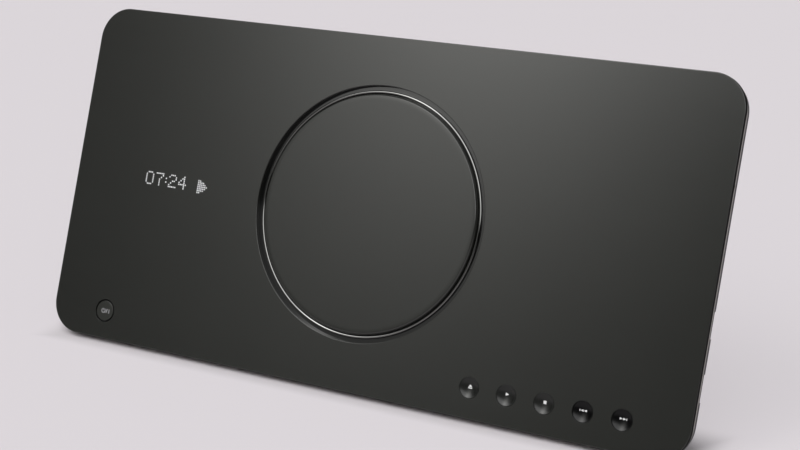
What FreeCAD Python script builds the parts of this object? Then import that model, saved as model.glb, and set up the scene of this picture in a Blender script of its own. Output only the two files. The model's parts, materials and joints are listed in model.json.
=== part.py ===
import FreeCAD, Part
import math
import os

# A slot-in disc player in a flat, picture-frame body that leans back on a folding rear leg.
# Every piece is drawn upright in the player's own axes, in millimetres: X to the right,
# Y from the front face into the body, Z up the front face, with zero at the face's middle.
# At the end the pieces lean back together and stand on the floor at Z = 0.

V = FreeCAD.Vector

# Body
panel_width = 360.0
panel_height = 176.0
panel_corner = 17.5
panel_thickness = 2.8
panel_edge_round = 0.35
trim_thickness = 2.6
trim_inset = 0.4
trim_band = 5.8
flange_thickness = 2.3
wall = 2.2
housing_inset = 4.0
housing_front_corner = 13.5
housing_back_corner = 8.0
housing_back_round = 1.5
lean_deg = 20.42
foot_height = 4.2

# Ring channel in the middle of the front panel
plateau_radius = 59.6
plateau_round = 1.8
channel_radius = 63.65
channel_depth = 3.0
channel_backing = 1.8
channel_rim = 3.0
ring_floor = 0.4
bead_radius = 60.7
bead_width = 1.2
bead_drop = 1.25
ring_clearance = 0.05

# Keys
key_pitch = 19.3
key_count = 5
last_key_inset = 32.5
key_row_inset = 14.7
key_radius = 5.1
key_clearance = 0.15
key_travel = 0.5
key_body = 3.6
key_flange_radius = 6.4
key_flange = 0.8
key_flange_gap = 0.1
key_stem_radius = 1.4
key_stem_length = 1.5
dish_radius = 4.8
dish_depth = 0.7
power_side_inset = 33.5
power_low_inset = 14.6
power_radius = 5.3
power_groove = 0.75
power_flange_radius = 7.2
power_post_rise = 3.4
switch_size = 6.0
switch_height = 3.0
switch_bore_gap = 0.35
switch_floor_gap = 0.2

# Boards behind the front panel
board = 1.6
front_board_face = 7.7
key_board_height = 14.0
key_board_drop = 0.3
key_board_lead = 10.3
key_board_end = 5.9
power_board_width = 27.0
board_post_radius = 2.4
post_hole = 0.9
post_clearance = 0.3
board_hole_clearance = 0.1
small_screw_length = 4.5
small_screw_head = 1.9
small_screw_head_height = 1.1
small_screw_shank = 0.85
display_inset = 65.0
display_length = 50.0
display_height = 16.0
display_gap = 0.6
display_chamfer = 0.6
display_board_height = 22.0
display_board_margin = 8.0
sensor_size = 5.0
sensor_spacing = 0.8
sensor_body_drop = 1.5
sensor_lens_drop = 2.3
sensor_lens_rim = 0.4
ribbon = 0.3
key_ribbon_width = 4.4
key_ribbon_lap = 16.0
key_ribbon_lift = 0.2
front_ribbon_width = 12.0
front_ribbon_start = -3.0
front_ribbon_lap = 14.0
ribbon_slope = 10.0
loader_ribbon_width = 14.0
loader_ribbon_low = 4.0
loader_ribbon_lap = 14.0
loader_ribbon_flat = 30.0
loader_ribbon_drop = 2.0
loader_ribbon_end = 20.0

# Screws through the housing into the front panel
outer_screw_inset = 30.0
inner_screw_inset = 62.0
keys_screw_lead = 30.3
screw_row_inset = 19.0
boss_radius = 4.2
front_boss_radius = 3.2
boss_meeting = 14.0
boss_floor = 2.0
screw_head_radius = 2.8
screw_head_height = 2.0
screw_shank_radius = 1.25
screw_clearance = 0.3
thread_clearance = 0.05
screw_length = 12.0
cross_arm = 1.8
cross_half_width = 0.35
cross_floor = 1.0

# Chassis plate
plate_thickness = 1.0
plate_left_gap = 10.317
plate_right_gap = 6.317
plate_edge_gap = 3.317
plate_to_back = 5.0
plate_boss_gap = 1.0
post_left_inset = 8.0
post_right_inset = 10.0
post_row_z = 50.0
post_upper_z = 8.0
middle_post_from_spindle = 33.0
plate_post_radius = 3.4
plate_screw_head = 2.6
plate_screw_head_height = 1.0
plate_screw_length = 5.0
plate_pocket_gap = 1.3

# Main and regulator boards
stud_length = 4.8
main_side_inset = 16.0
main_width = 118.0
main_height = 80.0
main_pocket_drop = 4.0
regulator_width = 80.0
regulator_height = 36.0
regulator_low_inset = 9.0
board_edge = 4.0
stud_radius = 2.6
chip_height = 1.6
decoder_size = 20.0
decoder_from_left = 60.0
decoder_from_low = 38.0
# Other chips: step right and up from the decoder, then width, height and thickness
chip_layout = ((26.0, 4.0, 12.0, 22.0, 1.2), (42.0, -10.0, 10.0, 16.0, 2.0), (-34.0, 16.0, 14.0, 10.0, 1.4),
               (26.0, -24.0, 8.0, 8.0, 1.2), (-36.0, -6.0, 9.0, 9.0, 1.2))
sink_size = 24.0
sink_height = 8.0
sink_base = 2.0
sink_fin = 1.4
sink_fins = 6
# Rows of capacitors: radius, height and pitch
upper_cans = (3.0, 7.0, 11.0)
side_cans = (2.6, 6.0, 10.0)
regulator_cans = (5.0, 9.5, 13.0)
upper_can_count = 4
side_can_count = 3
regulator_can_count = 2
upper_can_inset = 10.0
upper_can_drop = 9.0
side_can_inset = 7.0
side_can_rise = 16.0
regulator_can_inset = 16.0
regulator_row_rise = 18.0
can_round = 0.15
coil_inset = 46.0
coil_pitch = 16.0
coil_count = 2
coil_radius = 5.5
coil_waist = 4.4
coil_height = 6.0
coil_flange = 1.0

# Jack pocket in the back, with its jacks
pocket_side_step = 2.0
pocket_width = 84.0
pocket_height = 44.0
pocket_top_inset = 5.0
pocket_depth = 9.0
jack_pitch = 14.0
jack_barrel_radius = 4.15
jack_bore_radius = 1.7
jack_bore_depth = 8.0
jack_barrel_length = 8.2
jack_collar = 0.3
jack_hole_gap = 0.65
jack_base_margin = 1.6
jacks_in_row = 3
component_row_drop = 12.0
jack_row_pitch = 16.0
first_jack_inset = 10.0
socket_inset = 20.0
hdmi_width = 15.0
hdmi_height = 6.0
hdmi_wall = 0.5
hdmi_side_wall = 1.0
hdmi_corner = 2.0
hdmi_slope_inset = 2.2
hdmi_tongue_inset = 3.0
hdmi_tongue_drop = 0.5
hdmi_tongue = 1.5
hdmi_floor = 1.5
hdmi_reach = 3.5
dc_size = 9.0
dc_bore = 2.8
dc_pin = 1.0
dc_pin_drop = 0.6
dc_floor = 2.0
dc_reach = 3.0

# Folding leg
leg_recess_width = 91.0
leg_recess_depth = 4.5
leg_side_gap = 1.5
leg_hinge_from_top = 60.0
leg_hinge_depth = 2.25
leg_opening_deg = 39.09
leg_thickness = 3.2
leg_barrel_radius = 2.1
leg_pin_radius = 1.2
leg_pin_clearance = 0.05
leg_corner = 3.0
leg_window_margin = 15.0
leg_window_corner = 5.0
leg_foot_length = 10.0
leg_foot_inset = 4.0
leg_foot_thickness = 3.7
leg_foot_spare = 3.0
leg_top_gap = 1.0

# Feet under the housing
foot_inset = 70.0
foot_half_length = 25.0
foot_set_back = 3.0
foot_width = 18.0
foot_round = 1.2

# Keyholes for hanging on two screws
keyhole_x = 30.0
keyhole_from_top = 34.0
keyhole_radius = 4.6
keyhole_slot = 2.4
keyhole_rise = 9.0

# Vents
vent_count = 12
vent_pitch = 7.0
vent_width = 2.4
vent_length = 24.0
vent_from_spindle = 29.0
vent_row_z = 34.0

# Notches and pinhole in the right edge band
notch_spans = ((-30.4, -17.9), (-59.2, -46.4))
notch_depth = 0.9
notch_back = 1.2
pinhole_z = 38.5
pinhole_radius = 0.8
pinhole_depth = 3.0

# Loader
disc_radius = 60.0
disc_thickness = 1.2
slot_gap = 6.4
slot_side_gap = 1.5
loader_length = 137.0
spindle_inset = 68.0
loader_bezel_gap = 2.0
loader_sheet = 1.2
loader_side_gap = 1.2
loader_cover_face = 10.6
disc_from_cover = 4.4
base_from_disc = 9.0
loader_plate_gap = 1.6
loader_cover_sheet = 0.8
clamp_hole_radius = 17.0
ear_insets = (36.0, 21.0)
ear_reach = 8.4
ear_half_width = 5.0
ear_hole = 3.0
ear_screw_inset = 4.4
damper_radius = 4.2
damper_bore = 1.7
damper_front = 1.2
damper_waist_gap = 0.05
damper_screw_head = 3.2
damper_screw_head_height = 1.2
damper_screw_shank = 1.5
damper_screw_end = 0.8
bezel_inset = 17.0
bezel_inner_flange = 4.5
bezel_wall = 2.0
bezel_lip = 2.3
bezel_mouth_step = 1.0
felt_set_back = 0.5
felt = 0.5
felt_width = 4.0

# Spindle and clamp
hub_radius = 7.4
hub_rise = 2.2
hub_chamfer = 0.8
table_radius = 15.0
table_thickness = 2.4
rotor_radius = 12.5
rotor_height = 2.4
shaft_radius = 1.0
spindle_end_gap = 0.5
spindle_bore_floor = 0.3
running_clearance = 0.06
fixed_clearance = 0.02
stator_radius = 10.5
rotor_gap = 0.2
motor_plate_radius = 13.0
motor_plate = 1.2
puck_radius = 15.0
puck_flange_radius = 19.0
puck_flange = 1.2
puck_cover_gap = 0.2
puck_recess_gap = 0.6
puck_disc_gap = 0.2
pip_radius = 1.5
pip_rise = 0.6
leaf_half_width = 6.0
leaf_thickness = 0.4
leaf_half_length = 33.0
leaf_foot = 6.0
leaf_gap = 0.1

# Pickup
lens_track_radius = 30.0
lens_inner_radius = 23.5
lens_outer_radius = 58.0
sled_window_margin = 0.5
sled_outside = 8.0
sled_inside = 16.0
sled_half_height = 28.0
sled_rise = 5.0
sled_sink = 0.4
rod_z = 24.0
rod_rise = 2.4
rod_radius = 1.0
rod_end_block = 4.0
rod_block_from_spindle = 5.0
rod_block_front = 2.2
rod_block_back = 0.4
rod_block_half = 2.5
sled_notch_gap = 0.7
lens_pocket = 10.0
lens_holder = 9.0
lens_holder_thickness = 2.4
lens_radius = 2.2
lens_dome = 0.7
lens_lift = 1.0
lens_float = 0.9
screw_line_z = 31.0
screw_core_radius = 1.2
screw_thread_radius = 1.6
screw_pitch = 3.0
screw_root_depth = 0.1
thread_half_root = 0.6
thread_half_crest = 0.2
thread_start = 3.0
thread_end_gap = 5.0
screw_wall_gap = 0.3
nut_gap = 0.2
nut_inset = 6.0
nut_half_thickness = 1.2
feed_motor_radius = 3.6
feed_motor_length = 11.0
feed_motor_from_spindle = 4.0
feed_motor_gap = 0.3
feed_motor_floor = 4.0
feed_tab = 1.2
feed_tab_front = 2.0
feed_tab_half = 4.0
window_gap = 1.0
window_side = 2.5
window_from_spindle = 6.5

# Roller, its arm and its drive
arm_pivot_inset = 12.5
arm_pivot_rise = 1.8
roller_inset = 4.5
roller_rise = 2.8
roller_radius = 2.5
roller_waist = 1.9
roller_half_length = 53.6
cheek_z = 54.6
cheek_thickness = 1.2
web_reach = 2.0
web_start = 0.6
web_half_thickness = 0.5
web_lap = 0.5
arm_end_gap = 0.2
roller_shaft_top = 57.0
shaft_end_gap = 0.3
roller_flat = 2.0
shaft_slot_ends = (3.2, 2.0)
shaft_slot_gap = 0.8
shaft_slot_below = 0.6
arm_lift_deg = 23.4
arm_rod_radius = 1.2
cheek_radius = 1.7
gear_module = 0.5
roller_teeth = 12
drive_teeth = 20
gear_backlash = 0.1
gear_face = 2.8
gear_wall_gap = 0.8
mesh_direction_deg = 205.8
tooth_root_share = 0.30
tooth_tip_share = 0.12
drive_hub_radius = 2.2
drive_hub_length = 5.6
drive_axle_end = 0.6
pulley_width = 2.4
drive_pulley_radius = 4.5
motor_pulley_radius = 2.0
belt_radius = 0.5
belt_groove_gap = 0.1
belt_inset = 0.45
belt_centre_distance = 16.2
belt_drop = 0.6
loading_motor_radius = 4.8
loading_motor_length = 8.0
motor_shaft_radius = 0.5
motor_shaft_inside = 5.0
motor_bore_floor = 4.0

# Worked out from the sizes above
half_width = panel_width / 2
half_height = panel_height / 2
lean = math.radians(lean_deg)
flange_front = panel_thickness + trim_thickness
flange_back = flange_front + flange_thickness
housing_half_width = half_width - housing_inset
housing_half_height = half_height - housing_inset
disc_depth = loader_cover_face + disc_from_cover
loader_base = disc_depth + base_from_disc
plate_face = loader_base + loader_sheet + loader_plate_gap
back_inner = plate_face + plate_thickness + plate_to_back
overall_depth = back_inner + wall
housing_taper = (overall_depth - flange_back) * math.tan(lean)
plate_taper = (plate_face + plate_thickness - flange_back) * math.tan(lean)
plate_half_height = housing_half_height - plate_taper - wall - plate_edge_gap
plate_left = -(housing_half_width - plate_taper - wall - plate_left_gap)
plate_right = housing_half_width - plate_taper - wall - plate_right_gap
front_board_back = front_board_face + board
board_back = plate_face - stud_length
board_face = board_back - board
main_left = plate_left + main_side_inset
main_right = main_left + main_width
pocket_high = plate_half_height - pocket_top_inset
pocket_low = pocket_high - pocket_height
pocket_left = main_left - pocket_side_step
pocket_right = pocket_left + pocket_width
main_high = pocket_high - main_pocket_drop
main_low = main_high - main_height
regulator_right = main_left + regulator_width
regulator_low = -plate_half_height + regulator_low_inset
regulator_high = regulator_low + regulator_height
component_row_z = pocket_high - component_row_drop
av_row_z = component_row_z - jack_row_pitch
jack_first_x = pocket_left + first_jack_inset
hdmi_x = pocket_right - socket_inset
hdmi_z = component_row_z
dc_x = hdmi_x
dc_z = av_row_z
slot_half_length = disc_radius + slot_side_gap
bezel_left = half_width - bezel_inset
loader_right = bezel_left - loader_bezel_gap
loader_left = loader_right - loader_length
spindle_x = loader_right - spindle_inset
ear_x = (loader_left + ear_insets[0], loader_right - ear_insets[1])
arm_pivot_x = loader_right - arm_pivot_inset
arm_pivot_y = loader_base - arm_pivot_rise
roller_x = loader_right - roller_inset
roller_y = loader_base - roller_rise
sled_front = loader_base - sled_rise
sled_back = loader_base + sled_sink
rod_depth = loader_base - rod_rise
loader_half_height = disc_radius + loader_side_gap + loader_sheet
disc_back = disc_depth + disc_thickness / 2
disc_front = disc_depth - disc_thickness / 2
bezel_half_gap = slot_gap / 2 + bezel_wall
first_key_x = half_width - last_key_inset - (key_count - 1) * key_pitch
key_row_z = -half_height + key_row_inset
key_positions = [(first_key_x + i * key_pitch, key_row_z) for i in range(key_count)]
key_board_left = first_key_x - key_board_lead
power_x = -half_width + power_side_inset
power_z = -half_height + power_low_inset
display_x = -half_width + display_inset
screw_row = half_height - screw_row_inset
middle_key_gap = (key_count / 2) * key_pitch
screw_positions = [(-half_width + outer_screw_inset, screw_row), (0, screw_row),
                   (half_width - inner_screw_inset, screw_row), (-half_width + inner_screw_inset, -screw_row),
                   (first_key_x - keys_screw_lead, -screw_row), (first_key_x + middle_key_gap, -screw_row)]
plate_posts = [(plate_left + post_left_inset, -post_row_z), (plate_left + post_left_inset, post_upper_z),
               (spindle_x - middle_post_from_spindle, -post_row_z),
               (spindle_x - middle_post_from_spindle, post_row_z), (plate_right - post_right_inset, 0)]
keyhole_z = half_height - keyhole_from_top
leg_hinge_z = half_height - leg_hinge_from_top
vent_first_x = spindle_x - vent_from_spindle
board_top_z = key_row_z + key_board_height / 2 - key_board_drop
board_low_z = key_row_z - key_board_height / 2
key_board_right = key_positions[-1][0] + key_board_end
lens_x = spindle_x - lens_track_radius
inward_travel = lens_track_radius - lens_inner_radius
outward_travel = lens_outer_radius - lens_track_radius
window_left = lens_x - sled_outside - outward_travel - sled_window_margin
hinge_y = overall_depth - leg_hinge_depth
rod_block_left = spindle_x - rod_block_from_spindle
feed_motor_left = spindle_x - feed_motor_from_spindle
feed_motor_right = feed_motor_left + feed_motor_length
key_flange_face = panel_thickness + key_flange_gap
key_stem_end = key_flange_face + key_flange + key_stem_length
decoder_x = main_left + decoder_from_left
decoder_z = main_low + decoder_from_low
gear_z1 = -(loader_half_height + gear_wall_gap)
gear_z0 = gear_z1 - gear_face
pulley_z1 = gear_z0 - drive_hub_length
pulley_z0 = pulley_z1 - pulley_width


def block(x0, x1, y0, y1, z0, z1):
    return Part.makeBox(x1 - x0, y1 - y0, z1 - z0, V(x0, y0, z0))


def rod_along_x(y, z, x0, x1, radius):
    return Part.makeCylinder(radius, x1 - x0, V(x0, y, z), V(1, 0, 0))


def rod_along_y(x, z, y0, y1, radius):
    return Part.makeCylinder(radius, y1 - y0, V(x, y0, z), V(0, 1, 0))


def rod_along_z(x, y, z0, z1, radius):
    return Part.makeCylinder(radius, z1 - z0, V(x, y, z0), V(0, 0, 1))


def tube_along_y(x, z, y0, y1, radius, bore):
    return rod_along_y(x, z, y0, y1, radius).cut(rod_along_y(x, z, y0 - 1, y1 + 1, bore))


def rounded_outline(half_w, half_h, corner, y):
    arcs = []
    for quarter, (side, rise) in enumerate(((1, 1), (-1, 1), (-1, -1), (1, -1))):
        centre = V(side * (half_w - corner), y, rise * (half_h - corner))
        on_arc = []
        for eighth in range(3):
            angle = math.pi / 2 * quarter + math.pi / 4 * eighth
            on_arc.append(centre + V(corner * math.cos(angle), 0, corner * math.sin(angle)))
        arcs.append(on_arc)
    edges = []
    for i, arc in enumerate(arcs):
        edges.append(Part.Arc(*arc).toShape())
        edges.append(Part.LineSegment(arc[2], arcs[(i + 1) % 4][0]).toShape())
    return Part.Wire(edges)


def rounded_plate(half_w, half_h, corner, y0, y1):
    face = Part.Face(rounded_outline(half_w, half_h, corner, y0))
    return face.extrude(V(0, y1 - y0, 0))


def prism_z(points, z0, z1):
    outline = Part.makePolygon([V(x, y, z0) for x, y in points + points[:1]])
    return Part.Face(outline).extrude(V(0, 0, z1 - z0))


def fuse_all(shapes):
    whole = shapes[0]
    for shape in shapes[1:]:
        whole = whole.fuse(shape)
    return whole.removeSplitter()


def group(shapes):
    return Part.makeCompound(shapes)


def round_edges(shape, radius, choose):
    edges = [e for e in shape.Edges if choose(e)]
    return shape.makeFillet(radius, edges) if edges else shape


def flat_at(edge, y):
    box = edge.BoundBox
    return abs(box.YMin - y) < 1e-4 and abs(box.YMax - y) < 1e-4


# Front panel, with the ring channel, the key holes and the posts on its back
def front_panel():
    plate = rounded_plate(half_width, half_height, panel_corner, 0, panel_thickness)
    plate = round_edges(plate, panel_edge_round, lambda e: flat_at(e, 0))
    backing_back = channel_depth + channel_backing
    body = [plate]
    inner = plateau_radius - channel_rim
    outer = channel_radius + channel_rim
    body.append(tube_along_y(0, 0, panel_thickness, backing_back, outer, inner))
    for x, z in screw_positions:
        body.append(rod_along_y(x, z, panel_thickness, boss_meeting, front_boss_radius))
    for x, z in small_posts():
        body.append(rod_along_y(x, z, panel_thickness, front_board_face, board_post_radius))
    panel = fuse_all(body)
    channel = tube_along_y(0, 0, -1, channel_depth, channel_radius, plateau_radius)
    panel = panel.cut(channel)
    panel = round_edges(panel, plateau_round, lambda e: ring_edge(e, plateau_radius))
    panel = round_edges(panel, panel_edge_round, lambda e: ring_edge(e, channel_radius))
    for x, z in key_positions:
        panel = panel.cut(rod_along_y(x, z, -1, panel_thickness + 1, key_radius + key_clearance))
    panel = panel.cut(rod_along_y(power_x, power_z, -1, panel_thickness + 1, power_radius + power_groove))
    for x, z in screw_positions:
        radius = screw_shank_radius + thread_clearance
        panel = panel.cut(rod_along_y(x, z, panel_thickness + 1, boss_meeting + 1, radius))
    for x, z in small_posts():
        panel = panel.cut(rod_along_y(x, z, panel_thickness + 1, front_board_face + 1, post_hole))
    return panel


def ring_edge(edge, radius):
    box = edge.BoundBox
    return flat_at(edge, 0) and abs(box.XMax - radius) < 0.01 and abs(box.ZMax - radius) < 0.01


def small_posts():
    half_pitch = key_pitch / 2
    key_posts = [(key_positions[0][0] + half_pitch, key_row_z),
                 (key_positions[-1][0] - half_pitch, key_row_z)]
    reach = power_flange_radius + board_post_radius + post_clearance
    power_posts = [(power_x + side * reach, power_z + power_post_rise) for side in (-1, 1)]
    side = display_length / 2 + display_board_margin / 2
    display_posts = [(display_x - side, 0), (display_x + side + sensor_size, 0)]
    return key_posts + power_posts + display_posts


def ring_insert():
    inner = plateau_radius + ring_clearance
    outer = channel_radius - ring_clearance
    floor_face = channel_depth - ring_floor
    r = bead_width / 2
    crest = bead_drop + r
    a = V(inner, channel_depth, 0)
    b = V(outer, channel_depth, 0)
    c = V(outer, floor_face, 0)
    d = V(bead_radius + r, floor_face, 0)
    e = V(bead_radius + r, crest, 0)
    f = V(bead_radius - r, crest, 0)
    g = V(bead_radius - r, floor_face, 0)
    h = V(inner, floor_face, 0)
    top = V(bead_radius, bead_drop, 0)
    runs = [(a, b), (b, c), (c, d), (d, e)]
    edges = [Part.LineSegment(p, q).toShape() for p, q in runs]
    edges.append(Part.Arc(e, top, f).toShape())
    edges += [Part.LineSegment(p, q).toShape() for p, q in [(f, g), (g, h), (h, a)]]
    section = Part.Face(Part.Wire(edges))
    return section.revolve(V(0, 0, 0), V(0, 1, 0), 360)


def trim_frame():
    w = half_width - trim_inset
    h = half_height - trim_inset
    frame = rounded_plate(w, h, panel_corner - trim_inset, panel_thickness, flange_front)
    hole = rounded_plate(w - trim_band, h - trim_band, panel_corner - trim_band, 0, flange_back)
    frame = frame.cut(hole)
    depth = panel_thickness + trim_thickness / 2
    pinhole = rod_along_x(depth, pinhole_z, w - pinhole_depth, w + 1, pinhole_radius)
    return frame.cut(pinhole)


# Rear housing: a flange and a tapered tub whose underside lies level when the player leans
def housing_solid(inset, y0, y1):
    rounding = [housing_front_corner, housing_back_corner]
    wires = []
    for y in (y0, y1):
        share = (y - flange_back) / (overall_depth - flange_back)
        taper = housing_taper * share + inset
        corner = rounding[0] + (rounding[1] - rounding[0]) * share - inset
        wires.append(rounded_outline(housing_half_width - taper, housing_half_height - taper, corner, y))
    return Part.makeLoft(wires, True, True)


def rear_cover():
    w = half_width - trim_inset
    h = half_height - trim_inset
    flange = rounded_plate(w, h, panel_corner - trim_inset, flange_front, flange_back)
    tub = housing_solid(0, flange_back, overall_depth)
    tub = round_edges(tub, housing_back_round, lambda e: flat_at(e, overall_depth))
    outer = flange.fuse(tub)
    cover = outer.cut(housing_solid(wall, flange_back, back_inner))
    w_mouth = housing_half_width - wall
    h_mouth = housing_half_height - wall
    mouth_corner = housing_front_corner - wall
    cover = cover.cut(rounded_plate(w_mouth, h_mouth, mouth_corner, flange_front - 1, flange_back))
    pocket_back = overall_depth - pocket_depth
    recess_back = overall_depth - leg_recess_depth
    half_recess = leg_recess_width / 2
    recess_top = leg_hinge_z + leg_barrel_radius + leg_top_gap
    added = [block(pocket_left - wall, pocket_right + wall, pocket_back - wall, back_inner + wall / 2,
                   pocket_low - wall, pocket_high + wall),
             block(-half_recess - wall, half_recess + wall, recess_back - wall, back_inner + wall / 2,
                   -half_height, recess_top + wall)]
    for x, z in screw_positions:
        added.append(rod_along_y(x, z, boss_meeting, back_inner + wall / 2, boss_radius))
    post_front = plate_face + plate_thickness
    for x, z in plate_posts:
        added.append(rod_along_y(x, z, post_front, back_inner + wall / 2, plate_post_radius))
    for shape in added:
        cover = cover.fuse(shape.common(tub))
    cuts = [block(pocket_left, pocket_right, pocket_back, overall_depth + 1, pocket_low, pocket_high),
            block(-half_recess, half_recess, recess_back, overall_depth + 1, -half_height, recess_top)]
    for x, z in screw_positions:
        seat = boss_meeting + boss_floor
        cuts.append(rod_along_y(x, z, seat, overall_depth + 1, screw_head_radius + screw_clearance))
        cuts.append(rod_along_y(x, z, boss_meeting - 1, seat + 1, screw_shank_radius + screw_clearance))
    for x, z in plate_posts:
        cuts.append(rod_along_y(x, z, plate_face, back_inner - 1, screw_shank_radius + thread_clearance))
    cuts.append(bezel_body(0))
    cuts += jack_holes()
    pin_reach = half_recess + wall + leg_top_gap / 2
    pin_hole = leg_pin_radius + leg_pin_clearance
    cuts.append(rod_along_x(hinge_y, leg_hinge_z, -pin_reach, pin_reach, pin_hole))
    for side in (-1, 1):
        x = side * keyhole_x
        cuts.append(rod_along_y(x, keyhole_z, back_inner - 1, overall_depth + 1, keyhole_radius))
        cuts.append(block(x - keyhole_slot, x + keyhole_slot, back_inner - 1, overall_depth + 1,
                          keyhole_z, keyhole_z + keyhole_rise))
        top = keyhole_z + keyhole_rise
        cuts.append(rod_along_y(x, top, back_inner - 1, overall_depth + 1, keyhole_slot))
    for row in (-vent_row_z, vent_row_z):
        for i in range(vent_count):
            x = vent_first_x + i * vent_pitch
            cuts.append(block(x, x + vent_width, back_inner - 1, overall_depth + 1,
                              row - vent_length / 2, row + vent_length / 2))
    for low, high in notch_spans:
        cuts.append(block(w - notch_depth, w + 1, flange_back - notch_back, flange_back + 1, low, high))
    cover = cover.cut(group(cuts))
    return cover.removeSplitter()


def bezel_body(grow):
    half = bezel_half_gap + grow
    reach = slot_half_length + bezel_wall + grow
    start = bezel_left + bezel_mouth_step
    return block(start, half_width, disc_depth - half, disc_depth + half, -reach, reach)


def slot_bezel():
    outer = housing_solid(0, flange_back, overall_depth)
    body = bezel_body(0).common(outer)
    half = bezel_half_gap + bezel_lip
    reach = slot_half_length + bezel_wall + bezel_lip
    end = bezel_left + bezel_inner_flange
    bezel = body.fuse(block(bezel_left, end, disc_depth - half, disc_depth + half, -reach, reach))
    slot = block(bezel_left - 1, half_width, disc_depth - slot_gap / 2, disc_depth + slot_gap / 2,
                 -slot_half_length, slot_half_length)
    return bezel.cut(slot).removeSplitter()


def slot_felts():
    pads = []
    for side in (-1, 1):
        edge = disc_depth + side * slot_gap / 2
        low, high = sorted((edge, edge - side * felt))
        x0 = bezel_left + felt_set_back
        pads.append(block(x0, x0 + felt_width, low, high, -slot_half_length, slot_half_length))
    return group(pads)


def cover_screws():
    screws = []
    seat = boss_meeting + boss_floor
    for x, z in screw_positions:
        head_back = seat + screw_head_height
        head = rod_along_y(x, z, seat, head_back, screw_head_radius)
        for a, b in ((cross_arm, cross_half_width), (cross_half_width, cross_arm)):
            head = head.cut(block(x - a, x + a, seat + cross_floor, head_back + 1, z - b, z + b))
        shank = rod_along_y(x, z, seat - screw_length, seat + 0.5, screw_shank_radius)
        screws.append(head.fuse(shank).removeSplitter())
    return group(screws)


# Keys
def key_cap(x, z, radius, flange_radius):
    cap = rod_along_y(x, z, 0, key_body, radius)
    flange = rod_along_y(x, z, key_flange_face, key_flange_face + key_flange, flange_radius)
    stem = rod_along_y(x, z, key_body, key_stem_end, key_stem_radius)
    return fuse_all([cap, flange, stem])


def dished_key(index):
    x, z = key_positions[index]
    ball_radius = (dish_radius ** 2 + dish_depth ** 2) / (2 * dish_depth)
    ball = Part.makeSphere(ball_radius, V(x, dish_depth - ball_radius, z))
    return key_cap(x, z, key_radius, key_flange_radius).cut(ball)


def power_key():
    return key_cap(power_x, power_z, power_radius, power_flange_radius)


def key_switches():
    switches = []
    s = switch_size / 2
    bore_end = key_stem_end + key_travel + switch_floor_gap
    for x, z in key_positions + [(power_x, power_z)]:
        body = block(x - s, x + s, front_board_face - switch_height, front_board_face, z - s, z + s)
        switches.append(body.cut(rod_along_y(x, z, 0, bore_end, key_stem_radius + switch_bore_gap)))
    return group(switches)


def front_board(x0, x1, z0, z1):
    plate = block(x0, x1, front_board_face, front_board_back, z0, z1)
    for x, z in small_posts():
        plate = plate.cut(rod_along_y(x, z, 0, boss_meeting, post_hole + board_hole_clearance))
    for x, z in screw_positions:
        plate = plate.cut(rod_along_y(x, z, 0, boss_meeting, front_boss_radius + screw_clearance))
    return plate


def key_board():
    return front_board(key_board_left, key_board_right, board_low_z, board_top_z)


def power_key_board():
    half = power_board_width / 2
    return front_board(power_x - half, power_x + half, board_low_z, board_top_z)


def display_board():
    half = display_length / 2 + display_board_margin
    rise = display_board_height / 2
    return front_board(display_x - half, display_x + half + sensor_size, -rise, rise)


def display_module():
    half = display_length / 2
    rise = display_height / 2
    front = panel_thickness + display_gap
    body = block(display_x - half, display_x + half, front, front_board_face, -rise, rise)
    return body.makeChamfer(display_chamfer, [e for e in body.Edges if flat_at(e, front)])


def remote_sensor():
    x0 = display_x + display_length / 2 + sensor_spacing
    half = sensor_size / 2
    front = panel_thickness + display_gap
    middle = front + sensor_lens_drop
    body = block(x0, x0 + sensor_size, front + sensor_body_drop, front_board_face, -half, half)
    lens = Part.makeSphere(half - sensor_lens_rim, V(x0 + half, middle, 0))
    lens = lens.common(block(x0, x0 + sensor_size, front, middle, -half, half))
    return body.fuse(lens).removeSplitter()


def ribbon_strip(points, z0, z1):
    back = [(x, y + ribbon) for x, y in reversed(points)]
    return prism_z(points + back, z0, z1)


def key_flat_cable():
    right = key_board_left + key_ribbon_lap
    low = board_low_z + key_ribbon_lift
    return ribbon_strip([(power_x, front_board_back), (right, front_board_back)], low, low + key_ribbon_width)


def front_flat_cable():
    x0 = display_x + front_ribbon_start
    x1 = x0 + front_ribbon_lap
    x2 = x1 + ribbon_slope
    face = board_face - ribbon
    points = [(x0, front_board_back), (x1, front_board_back), (x2, face), (x2 + ribbon_slope, face)]
    return ribbon_strip(points, -front_ribbon_width / 2, front_ribbon_width / 2)


def loader_flat_cable():
    base_back = loader_base + loader_sheet
    points = [(main_right - loader_ribbon_lap, board_back), (main_right + loader_ribbon_flat, board_back),
              (loader_left - loader_ribbon_drop, base_back), (loader_left + loader_ribbon_end, base_back)]
    return ribbon_strip(points, loader_ribbon_low, loader_ribbon_low + loader_ribbon_width)


# Chassis plate with its studs, and the boards on it
def three_corners(left, right, low, high):
    e = board_edge
    return [(left + e, low + e), (right - e, low + e), (right - e, high - e)]


def main_holes():
    return three_corners(main_left, main_right, main_low, main_high)


def regulator_holes():
    return three_corners(main_left, regulator_right, regulator_low, regulator_high)


def damper_places():
    line = loader_half_height + ear_screw_inset
    return [(x, side * line) for x in ear_x for side in (-1, 1)]


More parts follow.
